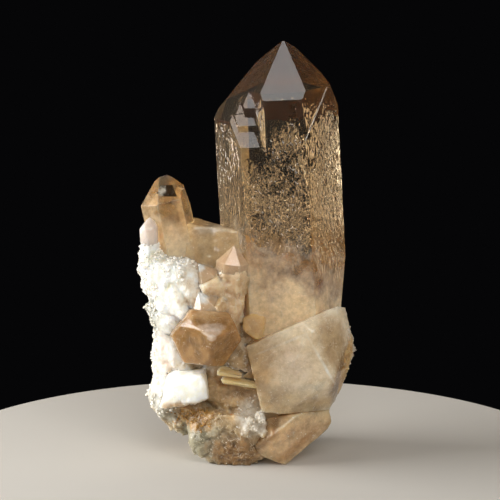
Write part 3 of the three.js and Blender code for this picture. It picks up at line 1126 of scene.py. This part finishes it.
@dataclass
class TallCrystal:
    """The large crystal: columns that grew side by side, with shared left, right and back end faces."""

    tip: Corner = (5.6, 4.0, 108.9)
    lean: float = 3.2
    spin: float = -5.0
    length: float = 88.0
    flat: float = 13.7
    left_cap: float = -2.3
    right_cap: float = 4.5
    back_caps: Corner = (3.0, -4.4, -0.6)
    proud: float = 0.03  # how far the two thin front plates stand out
    plate_right: float = 14.1  # from the axis to the right one's right face
    shoulder: Sequence[Corner] = ((90, 34.8, 4.36), (90, 17.9, 9.55), (90, -8.3, 24.1))
    level: float = 0.5  # degrees, by which faces may lean apart and still be made one
    same_way: float = 0.999  # the cosine up to which a face is on a side of the prism
    pitch: float = 0.5  # of the mesh on the prism faces
    mesh_reach: float = 1.6  # how far it goes to each side of a face's middle, over the flat
    hillock_width: float = 1.5
    hillock_height: float = 2.4
    hillock_depth: float = 0.2
    stir_size: float = 0.6  # how many waves of the bends in their rows there are to a hillock
    stir: float = 0.5  # and how far a row bends, as a share of a hillock
    swell: float = 7.0  # from one broad swell of a prism face to the next
    swell_height: float = 2.5  # its height over its width
    swell_depth: float = 0.15
    apart: Span = (7.3, 3.1)  # how far the noise of each side is from the next, for hillocks and swells
    border: int = 4  # how many rows of the mesh it takes the relief to rise from a sharp edge
    broken: Sequence[set[int]] = ({2, 3}, {3, 4})  # the sides whose common edge isn't sharp
    relief_top: float = 99.0  # the prism faces are smooth above this height
    relief_full: float = 92.0
    back_drop: float = 10.0  # how much lower it begins at the back
    shares: Sequence[float] = (0.55, 1.0, 1.0, 1.0, 1.0, 0.6)  # how strong it is on each side
    cloudy: float = 54.0  # below this height the relief is worn down
    worn: float = 44.0
    least: float = 0.15  # what is left of it there
    stepped: Span = (5.2, 79.0)  # no relief left of this x and above this height in front
    calm_back: Span = (5.0, 74.0)  # and little of it behind the steps
    calm_edge: float = 3.0  # how wide the edge of this calm place is
    calm_foot: float = 2.0  # how much more softly it ends below than at its side
    calm_least: float = 0.2  # what is left of the relief in it
    bare_top: Corner = (3.6, 12.6, 95.5)  # left and right end, and height, of the bare patch in front
    bare_tip: Span = (6.6, 84.0)  # its lower end, at an x and a height
    bare_edge: float = 2.0
    bare_share: float = 0.85  # how much of the relief it lacks
    finish: Finish = ClearSmokyQuartz()

    def column(
        self,
        front: float,
        cap: float,
        right: float | None = None,
        left: float | None = None,
        right_cap: float | None = None,
        left_cap: float | None = None,
        inset: float = 0.0,
    ) -> Crystal:
        """One column of the bundle.

        Args:
            front: From the axis to its front face.
            cap: Where its front end face crosses the axis.
            right: From the axis to its right front face.
            left: From the axis to its left front face.
            right_cap: Where its right front end face crosses the axis.
            left_cap: Where its left front end face crosses the axis.
            inset: How far its shared faces are behind those of the main column, so that none coincide.

        Returns:
            The column.
        """
        flat = self.flat - inset
        right = flat if right is None else right
        left = flat if left is None else left
        right_cap = self.right_cap - inset if right_cap is None else right_cap
        left_cap = self.left_cap - inset if left_cap is None else left_cap
        return Crystal(
            tip=self.tip,
            toward=leftward(self.lean),
            spin=self.spin,
            flats=[front, right, flat, flat, flat, left],
            caps=[cap, right_cap, *(cap - inset for cap in self.back_caps), left_cap],
            length=self.length - inset,
            extra=[(bearing, rise, distance - inset) for bearing, rise, distance in self.shoulder],
        )

    def columns(self) -> list[Crystal]:
        """Lists the columns.

        Returns:
            The main one, the thin plate on its right front edge, and those of the steps at the left.
        """
        proud = self.flat + self.proud
        return [
            self.column(front=self.flat, cap=2.53, left=8.45),
            self.column(front=proud, cap=-7.9, right=self.plate_right, left=10, left_cap=-25.4, inset=0.02),
            self.column(front=proud + 0.02, cap=-9.05, left=14.1, right_cap=-21.5, inset=0.04),
            self.column(front=10.87, cap=-7.52, left=13, right_cap=-19.2, inset=0.06),
            self.column(front=8.75, cap=-7.2, left=13.02, right_cap=-19.22, inset=0.08),
            self.column(front=9.33, cap=-5.1, left=10.9, right_cap=-15.75, inset=0.1),
        ]

    def side_facing(self, side: int, beside: float = 0.0) -> Vector:
        """The way that a side of the prism faces, or a way turned from it by some degrees to the right."""
        return self.columns()[0].facing(self.spin + beside + 360 / SIDES * side, 0)

    def joined(self, name: str, grow: float = 0.0) -> Object:
        """Makes one object of the columns.

        Args:
            name: Its name.
            grow: How far each face is moved outwards.

        Returns:
            The object.
        """
        solids = [column.solid(grow) for column in self.columns()]
        first, *others = [object_from(f"{name}_{i}", solid) for i, solid in enumerate(solids)]
        combine(first, others, "UNION")
        first.name = name
        return first

    def slice_prism(self, solid: BMesh) -> dict[BMFace, int]:
        """Gives the prism faces an even mesh.

        Args:
            solid: The crystal.

        Returns:
            For each of the prism's new faces, the side that it is on.
        """
        axis = self.columns()[0].facing(0, 90)
        reach = int(self.mesh_reach * self.flat / self.pitch)
        sides = {}
        for side in range(SIDES):
            facing = self.side_facing(side)
            step = axis.cross(facing) * self.pitch
            flat = [face for face in solid.faces if face.normal.dot(facing) > self.same_way]
            strips = slice_faces(solid, flat, Vector(self.tip) - step * reach, step, 2 * reach)
            down = axis * -self.pitch
            for face in slice_faces(solid, strips, Vector(self.tip), down, int(self.length / self.pitch)):
                sides[face] = side
        return sides

    def bare(self, point: Vector) -> float:
        """Finds how bare of hillocks the front is at a point.

        Args:
            point: The point.

        Returns:
            The share, from 0 outside the bare patch to 1 inside.
        """
        left, right, top = self.bare_top
        tip_x, tip_height = self.bare_tip
        down = (top - point.z) / (top - tip_height)
        low, high = left + (tip_x - left) * down, right + (tip_x - right) * down
        inside = min(point.x - low, high - point.x)
        return limited(0.5 + inside / self.bare_edge) if down > 0 else 0.0

    def relief_part(self, point: Vector, side: int) -> float:
        """How much of the full relief a point of a prism face has, from 0 to 1.

        Args:
            point: The point on the flat face.
            side: The side of the prism.

        Returns:
            The part.
        """
        drop = self.back_drop if side in BACK_SIDES else 0.0
        part = limited((self.relief_top - drop - point.z) / (self.relief_top - self.relief_full))
        part *= self.shares[side]
        part *= limited((point.z - self.worn) / (self.cloudy - self.worn), low=self.least)
        edge, foot = self.stepped
        if side == 0 and point.x < edge and point.z > foot:
            return 0.0
        if side in BACK_SIDES:
            edge, foot = self.calm_back
            outside = max(point.x - edge, (foot - point.z) / self.calm_foot)
            part *= limited(0.5 + outside / self.calm_edge, low=self.calm_least)
        return part * (1 - self.bare_share * self.bare(point)) if side == 0 else part

    def depth_at(self, point: Vector, side: int) -> float:
        """How far a point of a prism face would be sunk by the full relief.

        Args:
            point: The point on the flat face.
            side: The side of the prism.

        Returns:
            The depth.
        """
        across = (point - Vector(self.tip)).dot(self.side_facing(side, beside=90))
        hillocks_apart, swells_apart = (distance * side for distance in self.apart)
        cell = Vector((across / self.hillock_width, point.z / self.hillock_height, hillocks_apart))
        warp = noise.noise_vector(cell * self.stir_size) * self.stir
        nearest = noise.voronoi(cell + warp)[0][0]
        up = point.z / (self.swell_height * self.swell)
        broad = noise.noise(Vector((across / self.swell, up, swells_apart)))
        return self.hillock_depth * (min(1.0, nearest) - 0.5) + self.swell_depth * broad

    def carve_hillocks(self, solid: BMesh, sides: dict[BMFace, int]) -> None:
        """Sinks the prism faces between their hillocks, and leaves the crystal's sharp edges where they are.

        Args:
            solid: The crystal.
            sides: For each face of the prism, the side that it is on.
        """
        relief = solid.verts.layers.float.new(RELIEF_PART)
        facings = [self.side_facing(side) for side in range(SIDES)]
        side_of, outward = {}, {}
        for corner in solid.verts:
            around = {sides.get(face, SIDES) for face in corner.link_faces}
            if around in self.broken or len(around) == 1 and SIDES not in around:
                middle = sum((facings[side] for side in around), Vector())
                side_of[corner], outward[corner] = min(around), middle.normalized()
        for corner, row in self.rows_from_edges(solid, side_of).items():
            side = side_of[corner]
            corner[relief] = self.relief_part(corner.co, side) * min(1.0, row / self.border)
            corner.co -= outward[corner] * (corner[relief] * self.depth_at(corner.co, side))
        for edge in solid.edges:
            edge.smooth = len({sides.get(face, -face.index) for face in edge.link_faces}) == 1
        for face in solid.faces:
            face.smooth = True

    def rows_from_edges(self, solid: BMesh, side_of: dict[BMVert, int]) -> dict[BMVert, int]:
        """Counts how many rows of the mesh each corner of the prism faces is from a crystal edge.

        Args:
            solid: The crystal.
            side_of: The side of each corner that is inside a prism face.

        Returns:
            The rows for each of those corners, where those further in than the border have all of it.
        """
        rows = dict.fromkeys(side_of, self.border)
        reached = [corner for corner in solid.verts if corner not in side_of]
        seen = set(reached)
        for row in range(1, self.border):
            reached = [edge.other_vert(corner) for corner in reached for edge in corner.link_edges]
            reached = [corner for corner in dict.fromkeys(reached) if corner not in seen]
            seen.update(reached)
            rows.update(dict.fromkeys(reached, row))
        return rows

    def build(self) -> Object:
        """Makes and dresses the crystal.

        Returns:
            The piece.
        """
        piece = self.joined("tall_crystal")
        solid = bmesh.new()
        solid.from_mesh(piece.data)
        level = math.radians(self.level)
        bmesh.ops.dissolve_limit(solid, angle_limit=level, verts=solid.verts[:], edges=solid.edges[:])
        solid.normal_update()
        sides = self.slice_prism(solid)
        solid.faces.index_update()
        solid.normal_update()
        self.carve_hillocks(solid, sides)
        solid.to_mesh(piece.data)
        solid.free()
        dress(piece, self.finish)
        return piece


@dataclass(frozen=True)
class Part:
    """A crystal or block with its finish, and how many rounds of smoothing have worn its edges."""

    shape: Crystal | Block
    finish: Finish
    wear: int = 0
    edge: float = 0.12  # the width of the narrow bevel on a sharp one
    profile: float = 0.6  # how full that bevel is
    chips: float = 0.05  # how deep the chips in a worn one are
    rim: float = 0.5  # and in its ragged places
    ragged: Sequence[Zone] = ()
    pitch: float = 0.4  # of the mesh of a worn one

    CHIP = 2.4  # the size of a chip
    RIM_CHIP = 1.5  # and of one in a ragged place
    RIM_WAVE = 1.2
    RIM_WAVES = 0.5  # how high the waves there are, over the chips
    WAVE = 5.0  # from one low wave of a face to the next
    WAVE_HEIGHT = 0.14

    def build(self, name: str, around: Sequence[Object] = ()) -> Object:
        """Makes and dresses the piece.

        Args:
            name: Its name.
            around: The solids that it is cut back from.

        Returns:
            The piece.
        """
        solid = self.shape.solid()
        if not self.wear:
            bevel = {"offset": self.edge, "segments": 2, "profile": self.profile, "affect": "EDGES"}
            bmesh.ops.bevel(solid, geom=solid.edges[:], **bevel)
        piece = object_from(name, solid)
        if around:
            combine(piece, around, "DIFFERENCE")
        if self.wear:
            even_mesh(piece, self.pitch)
            smoothing = piece.modifiers.new("wear", "SMOOTH")
            smoothing.factor, smoothing.iterations = 0.5, self.wear
            settle_modifiers(piece)
            places, facings = corners_of(piece.data)
            heights = [[self.height_at(Vector(place))] for place in places]
            move_corners(piece.data, places + facings * np.array(heights, np.float32))
            piece.data.shade_smooth()
        dress(piece, self.finish)
        return piece

    def height_at(self, place: Vector) -> float:
        """How far the surface of a worn piece stands out at a place.

        Args:
            place: The place.

        Returns:
            The height, which is negative where the surface is sunk.
        """
        broken = self.rim * share_inside(place, self.ragged)
        broken *= faceted(place, self.RIM_CHIP) + self.RIM_WAVES * weathered(place, self.RIM_WAVE)
        chipped = self.chips * faceted(place, self.CHIP)
        return self.WAVE_HEIGHT * weathered(place, self.WAVE) + chipped + broken


@dataclass
class LesserCrystals:
    """The crystals and blocks that stand round the large crystal, by name."""

    sunk: float = 0.25  # how far the others reach into a clear crystal that they touch
    clear: Sequence[str] = ("left_crystal", "painted_shade_block")  # what isn't cut back

    def parts(self) -> dict[str, Part]:
        """Lists them, each with its sizes, its finish and its wear.

        Returns:
            The parts by name: crystals with the full habit of quartz and the dark block of painted shade
                inside the left crystal, and then blocks.
        """
        return {
            "left_crystal": Part(
                Crystal((-23.3, 0, 73.5), leftward(12), flats=5.5, length=34, spin=14,
                        caps=[0.7, 2.5, 2.5, -1, 0.6, 0.5], extra=[(90, 7, 5.03)]),
                ORANGE_BROWN_QUARTZ, edge=0.02,
            ),
            # Painted shade: a dark block inside the left crystal, for the dark backdrop seen through it.
            "painted_shade_block": Part(
                Block([(-22.9, -2.6, 71.4), (-19.9, -2.6, 71.6), (-18.6, -4.4, 68.8), (-23, -4.4, 68.8),
                       (-23.8, -3.8, 69.6), (-22.8, -2.0, 71.2), (-20.1, -2.0, 71.4), (-19, -3.4, 68.8),
                       (-22.8, -3.4, 68.8)]),
                PAINTED_SHADE_BLOCK,
            ),
            "front_crystal": Part(
                Crystal((-4, -9.5, 57.2), (0.1, -0.06, 1), flats=3.6, length=7), GLOSSY_TAN_QUARTZ
            ),
            # The white facet at its tip is a painted highlight.
            "painted_highlight_crystal": Part(
                Crystal((-13, -10.5, 52.6), (-0.42, -0.25, 0.87), spin=12, length=5,
                        flats=[4.6, 4.2, 4.6, 4.6, 4.6, 3.8]),
                GLOSSY_TAN_QUARTZ,
            ),
            "low_front_crystal": Part(
                Crystal((-13, -14.2, 45.9), (-0.4, -0.4, 0.82), spin=8, length=5,
                        flats=[4.2, 4.6, 5, 5, 4.4, 3.6]),
                GLOSSY_TAN_QUARTZ,
            ),
            "smallest_crystal": Part(
                Crystal((-25.9, -7.2, 64.4), (-0.04, -0.06, 1), spin=20, flats=2.2, length=8,
                        caps=[-0.4, 0, 0.6, 0, -0.5, 0.4]),
                ROSE_GREY_QUARTZ, wear=8,
            ),
            "back_left_crystal": Part(
                Crystal((-6, 19, 60), (-0.25, 0.42, 0.87), spin=10, length=40,
                        flats=[5, 5.4, 5, 4.6, 5.2, 5]),
                HONEY_QUARTZ, wear=1,
            ),
            "back_right_crystal": Part(
                Crystal((13, 24, 44), (0.25, 0.75, 0.6), spin=25, length=34,
                        flats=[6, 6.6, 6, 5.6, 6, 6.2]),
                SMOKY_BROWN_QUARTZ, wear=1,
            ),
            "rear_left_crystal": Part(
                Crystal((-22, 17, 44), (-0.55, 0.6, 0.58), spin=-15, length=28,
                        flats=[4, 4.4, 4, 3.8, 4.2, 4]),
                BEIGE_QUARTZ, wear=1,
            ),
            "rear_right_crystal": Part(
                Crystal((25, 12, 33), (0.75, 0.45, 0.48), spin=5, length=26,
                        flats=[4.6, 5, 4.6, 4.4, 4.8, 4.6]),
                PEACH_BROWN_QUARTZ, wear=1,
            ),
            "brown_stub": Part(
                Crystal((-9.4, -25, 36), (0.1, -0.97, 0.16), length=26,
                        flats=[7, 7.2, 7.2, 6.8, 8, 8.4], caps=[3, 0, 3, 0.6, 3, 0]),
                SMOKY_BROWN_QUARTZ, wear=4,
            ),
            "saddle_block": Part(
                Block([(-17, 8, 62.1), (-2, 8, 57.7), (-17, -4, 61.8), (-2, -5, 60),
                       (-17, -8, 36), (-2, -8, 36), (-17, 12, 36), (-2, 12, 36)]),
                BEIGE_QUARTZ, wear=5,
            ),
            "pale_crystal": Part(
                Block([(-1, -13.5, 31.6), (12.7, -14.3, 38), (22.4, -9.5, 41.4), (24.4, -7, 40.6),
                       (25.8, -6.5, 34.5), (26.8, -4, 30.2), (26.4, -4, 26.2), (23.6, -6, 19),
                       (20.4, -11, 14.4), (8.4, -16.4, 14.6), (3, -17, 15.2), (16, -15.6, 36),
                       (21.8, -15, 24.6), (-1, 6, 30), (21, 5, 36), (24.5, 6, 28), (19, 8, 15),
                       (3, 8, 14)]),
                PALE_GREY_QUARTZ, wear=1, chips=0.08, ragged=[Zone((26.4, -5, 27), (2.6, 9, 10), edge=0.4)],
            ),
            "foot_crystal": Part(
                Block([(5.8, -18, 9.6), (12.8, -15, 14.6), (20.4, -9, 14.2), (21.2, -8, 10.5),
                       (20.2, -7, 8.4), (9, -12, 0), (3.1, -13, 2.6), (0.6, -13, 5),
                       (4.6, -14, 13), (18, 6, 13), (10, 8, 0), (0, 6, 6)]),
                PEACH_BROWN_QUARTZ, wear=4,
            ),
            "white_block": Part(
                Block([(-23, -13, 15.4), (-21, -14.5, 21.4), (-13.8, -16.5, 23.6), (-12.4, -16.8, 24.8),
                       (-11.3, -17.2, 22.6), (-10.8, -15.8, 18.8), (-15.4, -15, 16.6), (-23, -5, 14),
                       (-21, -5, 24), (-11, -5, 25), (-10, -5, 16)]),
                CREAM_WHITE_QUARTZ, wear=1, chips=0.12, ragged=[Zone((-17, -15, 16), (8, 6, 2.4), edge=0.4)],
            ),
            "low_blade": Part(
                Block([(-7.4, -17.6, 24), (1.8, -18.4, 22.4), (1.4, -18.2, 21.8), (-6.8, -17.4, 22.8),
                       (-6, -8, 24), (1, -8, 22)]),
                PALE_GOLDEN_QUARTZ,
            ),
            "high_blade": Part(
                Block([(-8.4, -16.8, 26), (-2, -17.2, 24.8), (-2.4, -17, 24.2), (-8.2, -16.6, 24.8),
                       (-7, -8, 26), (-2, -8, 24.4)]),
                PALE_GOLDEN_QUARTZ,
            ),
            # Its brown is partly painted shade.
            "brown_wedge": Part(
                Block([(-1.8, -14, 36), (1.8, -14.2, 33.4), (3.6, -13.4, 34.2), (3.9, -12.2, 39.2),
                       (0.5, -12, 40), (-1.8, -12.6, 38.7), (-2, -8, 38), (4, -8, 38), (1, -8, 32)]),
                GOLDEN_BROWN_QUARTZ, wear=4,
            ),
        }

    def build(self, tall: TallCrystal) -> None:
        """Makes and dresses them, each cut back from the clear crystals, so that nothing shows inside.

        Args:
            tall: The large crystal.
        """
        parts = self.parts()
        for name, part in parts.items():
            around = []
            if name not in self.clear:
                around = [tall.joined("around_tall", -self.sunk)]
                around.append(object_from("around_left", parts["left_crystal"].shape.solid(-self.sunk)))
            part.build(name, around)


@dataclass(frozen=True)
class Grains:
    """Small grains of quartz on a surface: how wide they are, and how many there are.

    Attributes:
        name: The piece's name.
        zones: Where they lie.
        finish: Their finish.
        width: The width of a middling one.
        count: How many there are on a square millimetre where they are thickest.
        seed: For their places and sizes.
    """

    name: str
    zones: Sequence[Zone]
    finish: Finish
    width: float = 0.9
    count: float = 1.2
    seed: int = 5

    SMALLEST = (0.35, 0.35, 0.45)  # the sizes of the smallest grain, over the width
    LARGEST = (1.3, 1.3, 1.7)
    FULL_TURN = 6.3  # radians

    def tree(self) -> NodeTree:
        """Adds the nodes that strew the grains.

        Returns:
            Their tree.
        """
        tree = bpy.data.node_groups.new(self.name, "GeometryNodeTree")
        for name, kind in (
            ("Geometry", "NodeSocketGeometry"),
            ("Grain Width", "NodeSocketFloat"),
            ("Grains per Square Millimetre", "NodeSocketFloat"),
            ("Seed", "NodeSocketInt"),
        ):
            tree.interface.new_socket(name, in_out="INPUT", socket_type=kind)
        tree.interface.new_socket("Geometry", in_out="OUTPUT", socket_type="NodeSocketGeometry")
        given = add_node(tree, "NodeGroupInput").node.outputs
        part = add_node(tree, "GeometryNodeInputNamedAttribute", {"Name": GRAIN_PART}, "Attribute")
        counts = (part, given["Grains per Square Millimetre"])
        thickly = add_node(tree, "ShaderNodeMath", counts, operation="MULTIPLY")
        strewing = {"Mesh": given["Geometry"], "Density": thickly, "Seed": given["Seed"]}
        points = add_node(tree, "GeometryNodeDistributePointsOnFaces", strewing, "Points")
        grain = add_node(tree, "GeometryNodeMeshIcoSphere", {"Radius": 0.5, "Subdivisions": 1}, "Mesh")
        turns, shares = (
            add_node(
                tree,
                "FunctionNodeRandomValue",
                {0: least, 1: most, "Seed": given["Seed"]},
                "Value",
                data_type="FLOAT_VECTOR",
            )
            for least, most in (((0.0,) * 3, (self.FULL_TURN,) * 3), (self.SMALLEST, self.LARGEST))
        )
        widths = {0: shares, "Scale": given["Grain Width"]}
        scale = add_node(tree, "ShaderNodeVectorMath", widths, operation="SCALE")
        placing = {"Points": points, "Instance": grain, "Rotation": turns, "Scale": scale}
        strewn = add_node(tree, "GeometryNodeInstanceOnPoints", placing)
        real = add_node(tree, "GeometryNodeRealizeInstances", {"Geometry": strewn})
        covered = {"Geometry": real, "Material": self.finish.material()}
        dressed = add_node(tree, "GeometryNodeSetMaterial", covered)
        add_node(tree, "NodeGroupOutput", {"Geometry": dressed})
        return tree

    def build(self, surface: Mesh) -> Object:
        """Strews the grains, and dresses them.

        Args:
            surface: What they lie on, in millimetres. It becomes theirs.

        Returns:
            The piece.
        """
        part = surface.attributes.new(GRAIN_PART, "FLOAT", "POINT")
        for corner, value in zip(surface.vertices, part.data):
            value.value = share_inside(corner.co, self.zones)
        piece = bpy.data.objects.new(self.name, surface)
        bpy.context.scene.collection.objects.link(piece)
        tree = self.tree()
        modifier = piece.modifiers.new("grains", "NODES")
        modifier.node_group = tree
        values = {"Grain Width": self.width, "Grains per Square Millimetre": self.count, "Seed": self.seed}
        for socket in tree.interface.items_tree:
            if socket.name in values:
                modifier[socket.identifier] = values[socket.name]
        settle_modifiers(piece)
        dress(piece, self.finish)
        return piece


@dataclass
class Root:
    """The broken milky root with its crust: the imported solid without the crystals."""

    gap: float = 0.05  # between the cut and a crystal's face
    proud: float = 0.25  # how far the solid's own plates are cut away, so that no shaving of them stays
    plate_right: float = 15.0
    merge: float = 0.002  # corners of the solid's triangles this near are one
    pitch: float = 0.45  # of the mesh
    crumb: int = 1500  # a loose lump with fewer corners than this is a crumb
    hold: float = 0.7  # what is nearer than this to a crystal is tucked into it
    tuck: float = 0.9  # by so much, so that no gap shows
    facet: float = 4.0  # the size of the facets that it broke into
    small_facet: float = 0.4  # the size of the small ones on them, over theirs
    small_relief: float = 0.45  # and their relief, over theirs
    relief: float = 0.6
    crust_wave: float = 2.4  # from one wave of the crust to the next
    crust_relief: float = 0.7
    finish: Finish = CRUSTED_MILKY_QUARTZ
    crust: Sequence[Zone] = (
        Zone((-24, -4, 40), (11, 20, 26)),
        Zone((0.8, -15, 13.6), (4, 6, 5)),
        Zone((-18, -12, 12), (8, 8, 6)),
    )
    crust_rim: Sequence[Zone] = (
        Zone((-18, -6, 54), (9, 12, 4), edge=0.6, strength=0.6),
        Zone((-28, -2, 40), (3.5, 14, 22), edge=0.6),
        Zone((-25, -10, 16), (5, 10, 6), edge=0.6, strength=0.35),
    )
    sugary: Sequence[Zone] = (
        Zone((0.8, -15, 13.6), (3.6, 6, 4.6), edge=0.6),
        Zone((-4, -12, 26), (4, 6, 4), edge=0.6, strength=0.3),
    )
    stained: Sequence[Zone] = (
        Zone((-17, -13, 12.2), (6, 6, 3.2), edge=0.5),
        Zone((-17, -16, 15.8), (6, 3, 1.4), edge=0.5),
    )

    def grains(self) -> list[Grains]:
        """Lists the layers of grains.

        Returns:
            Those of the crust's rim, of the hollow and of the stained place.
        """
        return [
            Grains("crust_grains", self.crust_rim, SUGARY_WHITE_QUARTZ, width=0.8),
            Grains("hollow_grains", self.sugary, SUGARY_BEIGE_QUARTZ, width=0.6, count=1.0),
            Grains("iron_grains", self.stained, IRON_STAINED_QUARTZ, width=0.7, count=1.6),
        ]

    def build(self, tall: TallCrystal, lesser: LesserCrystals) -> None:
        """Makes and dresses the root and its grains.

        Args:
            tall: The large crystal.
            lesser: The other crystals.
        """
        solid = bmesh.new()
        solid.from_mesh(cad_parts[NODE].data)
        bmesh.ops.scale(solid, vec=(1 / MM, 1 / MM, 1 / MM), verts=solid.verts[:])
        bmesh.ops.remove_doubles(solid, verts=solid.verts[:], dist=self.merge)
        piece = object_from("crusted_root", solid)
        shapes = [part.shape for part in lesser.parts().values()]
        plates = replace(tall, proud=self.proud, plate_right=self.plate_right)
        cutters = [tall.joined("cutter_tall", self.gap), plates.joined("cutter_plates", self.gap)]
        cutters += [object_from(f"cutter_{i}", shape.solid(self.gap)) for i, shape in enumerate(shapes)]
        combine(piece, cutters, "DIFFERENCE")
        even_mesh(piece, self.pitch)
        self.drop_crumbs(piece.data)
        self.roughen(piece.data, [shape.planes() for shape in [*tall.columns(), *shapes]])
        piece.data.shade_smooth()
        for layer in self.grains():
            layer.build(piece.data.copy())
        dress(piece, self.finish)

    def drop_crumbs(self, mesh: Mesh) -> None:
        """Takes away the loose crumbs that the cut has left.

        Args:
            mesh: The root's mesh.
        """
        solid = bmesh.new()
        solid.from_mesh(mesh)
        waiting, crumbs = set(solid.verts), []
        while waiting:
            lump, edge = set(), {waiting.pop()}
            while edge:
                lump |= edge
                edge = {line.other_vert(corner) for corner in edge for line in corner.link_edges} - lump
            waiting -= lump
            if len(lump) < self.crumb:
                crumbs += lump
        bmesh.ops.delete(solid, geom=crumbs, context="VERTS")
        solid.to_mesh(mesh)
        solid.free()

    def roughen(self, mesh: Mesh, crystals: list[list[Plane]]) -> None:
        """Gives the root its relief, and tucks it into the crystals where it meets them.

        Args:
            mesh: The root's mesh.
            crystals: The faces of each crystal.
        """
        places, outward = corners_of(mesh)
        away = np.full(len(places), np.inf)
        inward = np.zeros((len(places), 3))
        for planes in crystals:
            facings = np.array([facing[:] for _, facing in planes])
            heights = np.array([point.dot(facing) for point, facing in planes])
            over = places @ facings.T - heights
            nearest = over.argmax(axis=1)
            distance = over[np.arange(len(places)), nearest]
            nearer = distance < away
            away[nearer], inward[nearer] = distance[nearer], -facings[nearest[nearer]]
        for i in range(len(places)):
            if away[i] < self.hold:
                places[i] += inward[i] * (away[i] + self.tuck)
                continue
            place = Vector(places[i])
            crust = share_inside(place, self.crust)
            broken = faceted(place, self.facet)
            broken += self.small_relief * faceted(place, self.small_facet * self.facet)
            depth = (1 - crust) * self.relief * broken
            depth += crust * self.crust_relief * weathered(place, self.crust_wave)
            places[i] += outward[i] * depth * min(1.0, away[i] - self.hold)
        move_corners(mesh, places)


def main() -> None:
    """Builds the cluster and the studio."""
    logging.basicConfig(level=logging.INFO, format="%(name)s: %(message)s")
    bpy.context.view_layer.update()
    noise.seed_set(NOISE_SEED)
    Studio().build()
    tall, lesser = TallCrystal(), LesserCrystals()
    tall.build()
    lesser.build(tall)
    Root().build(tall, lesser)


if __name__ == "__main__":
    main()
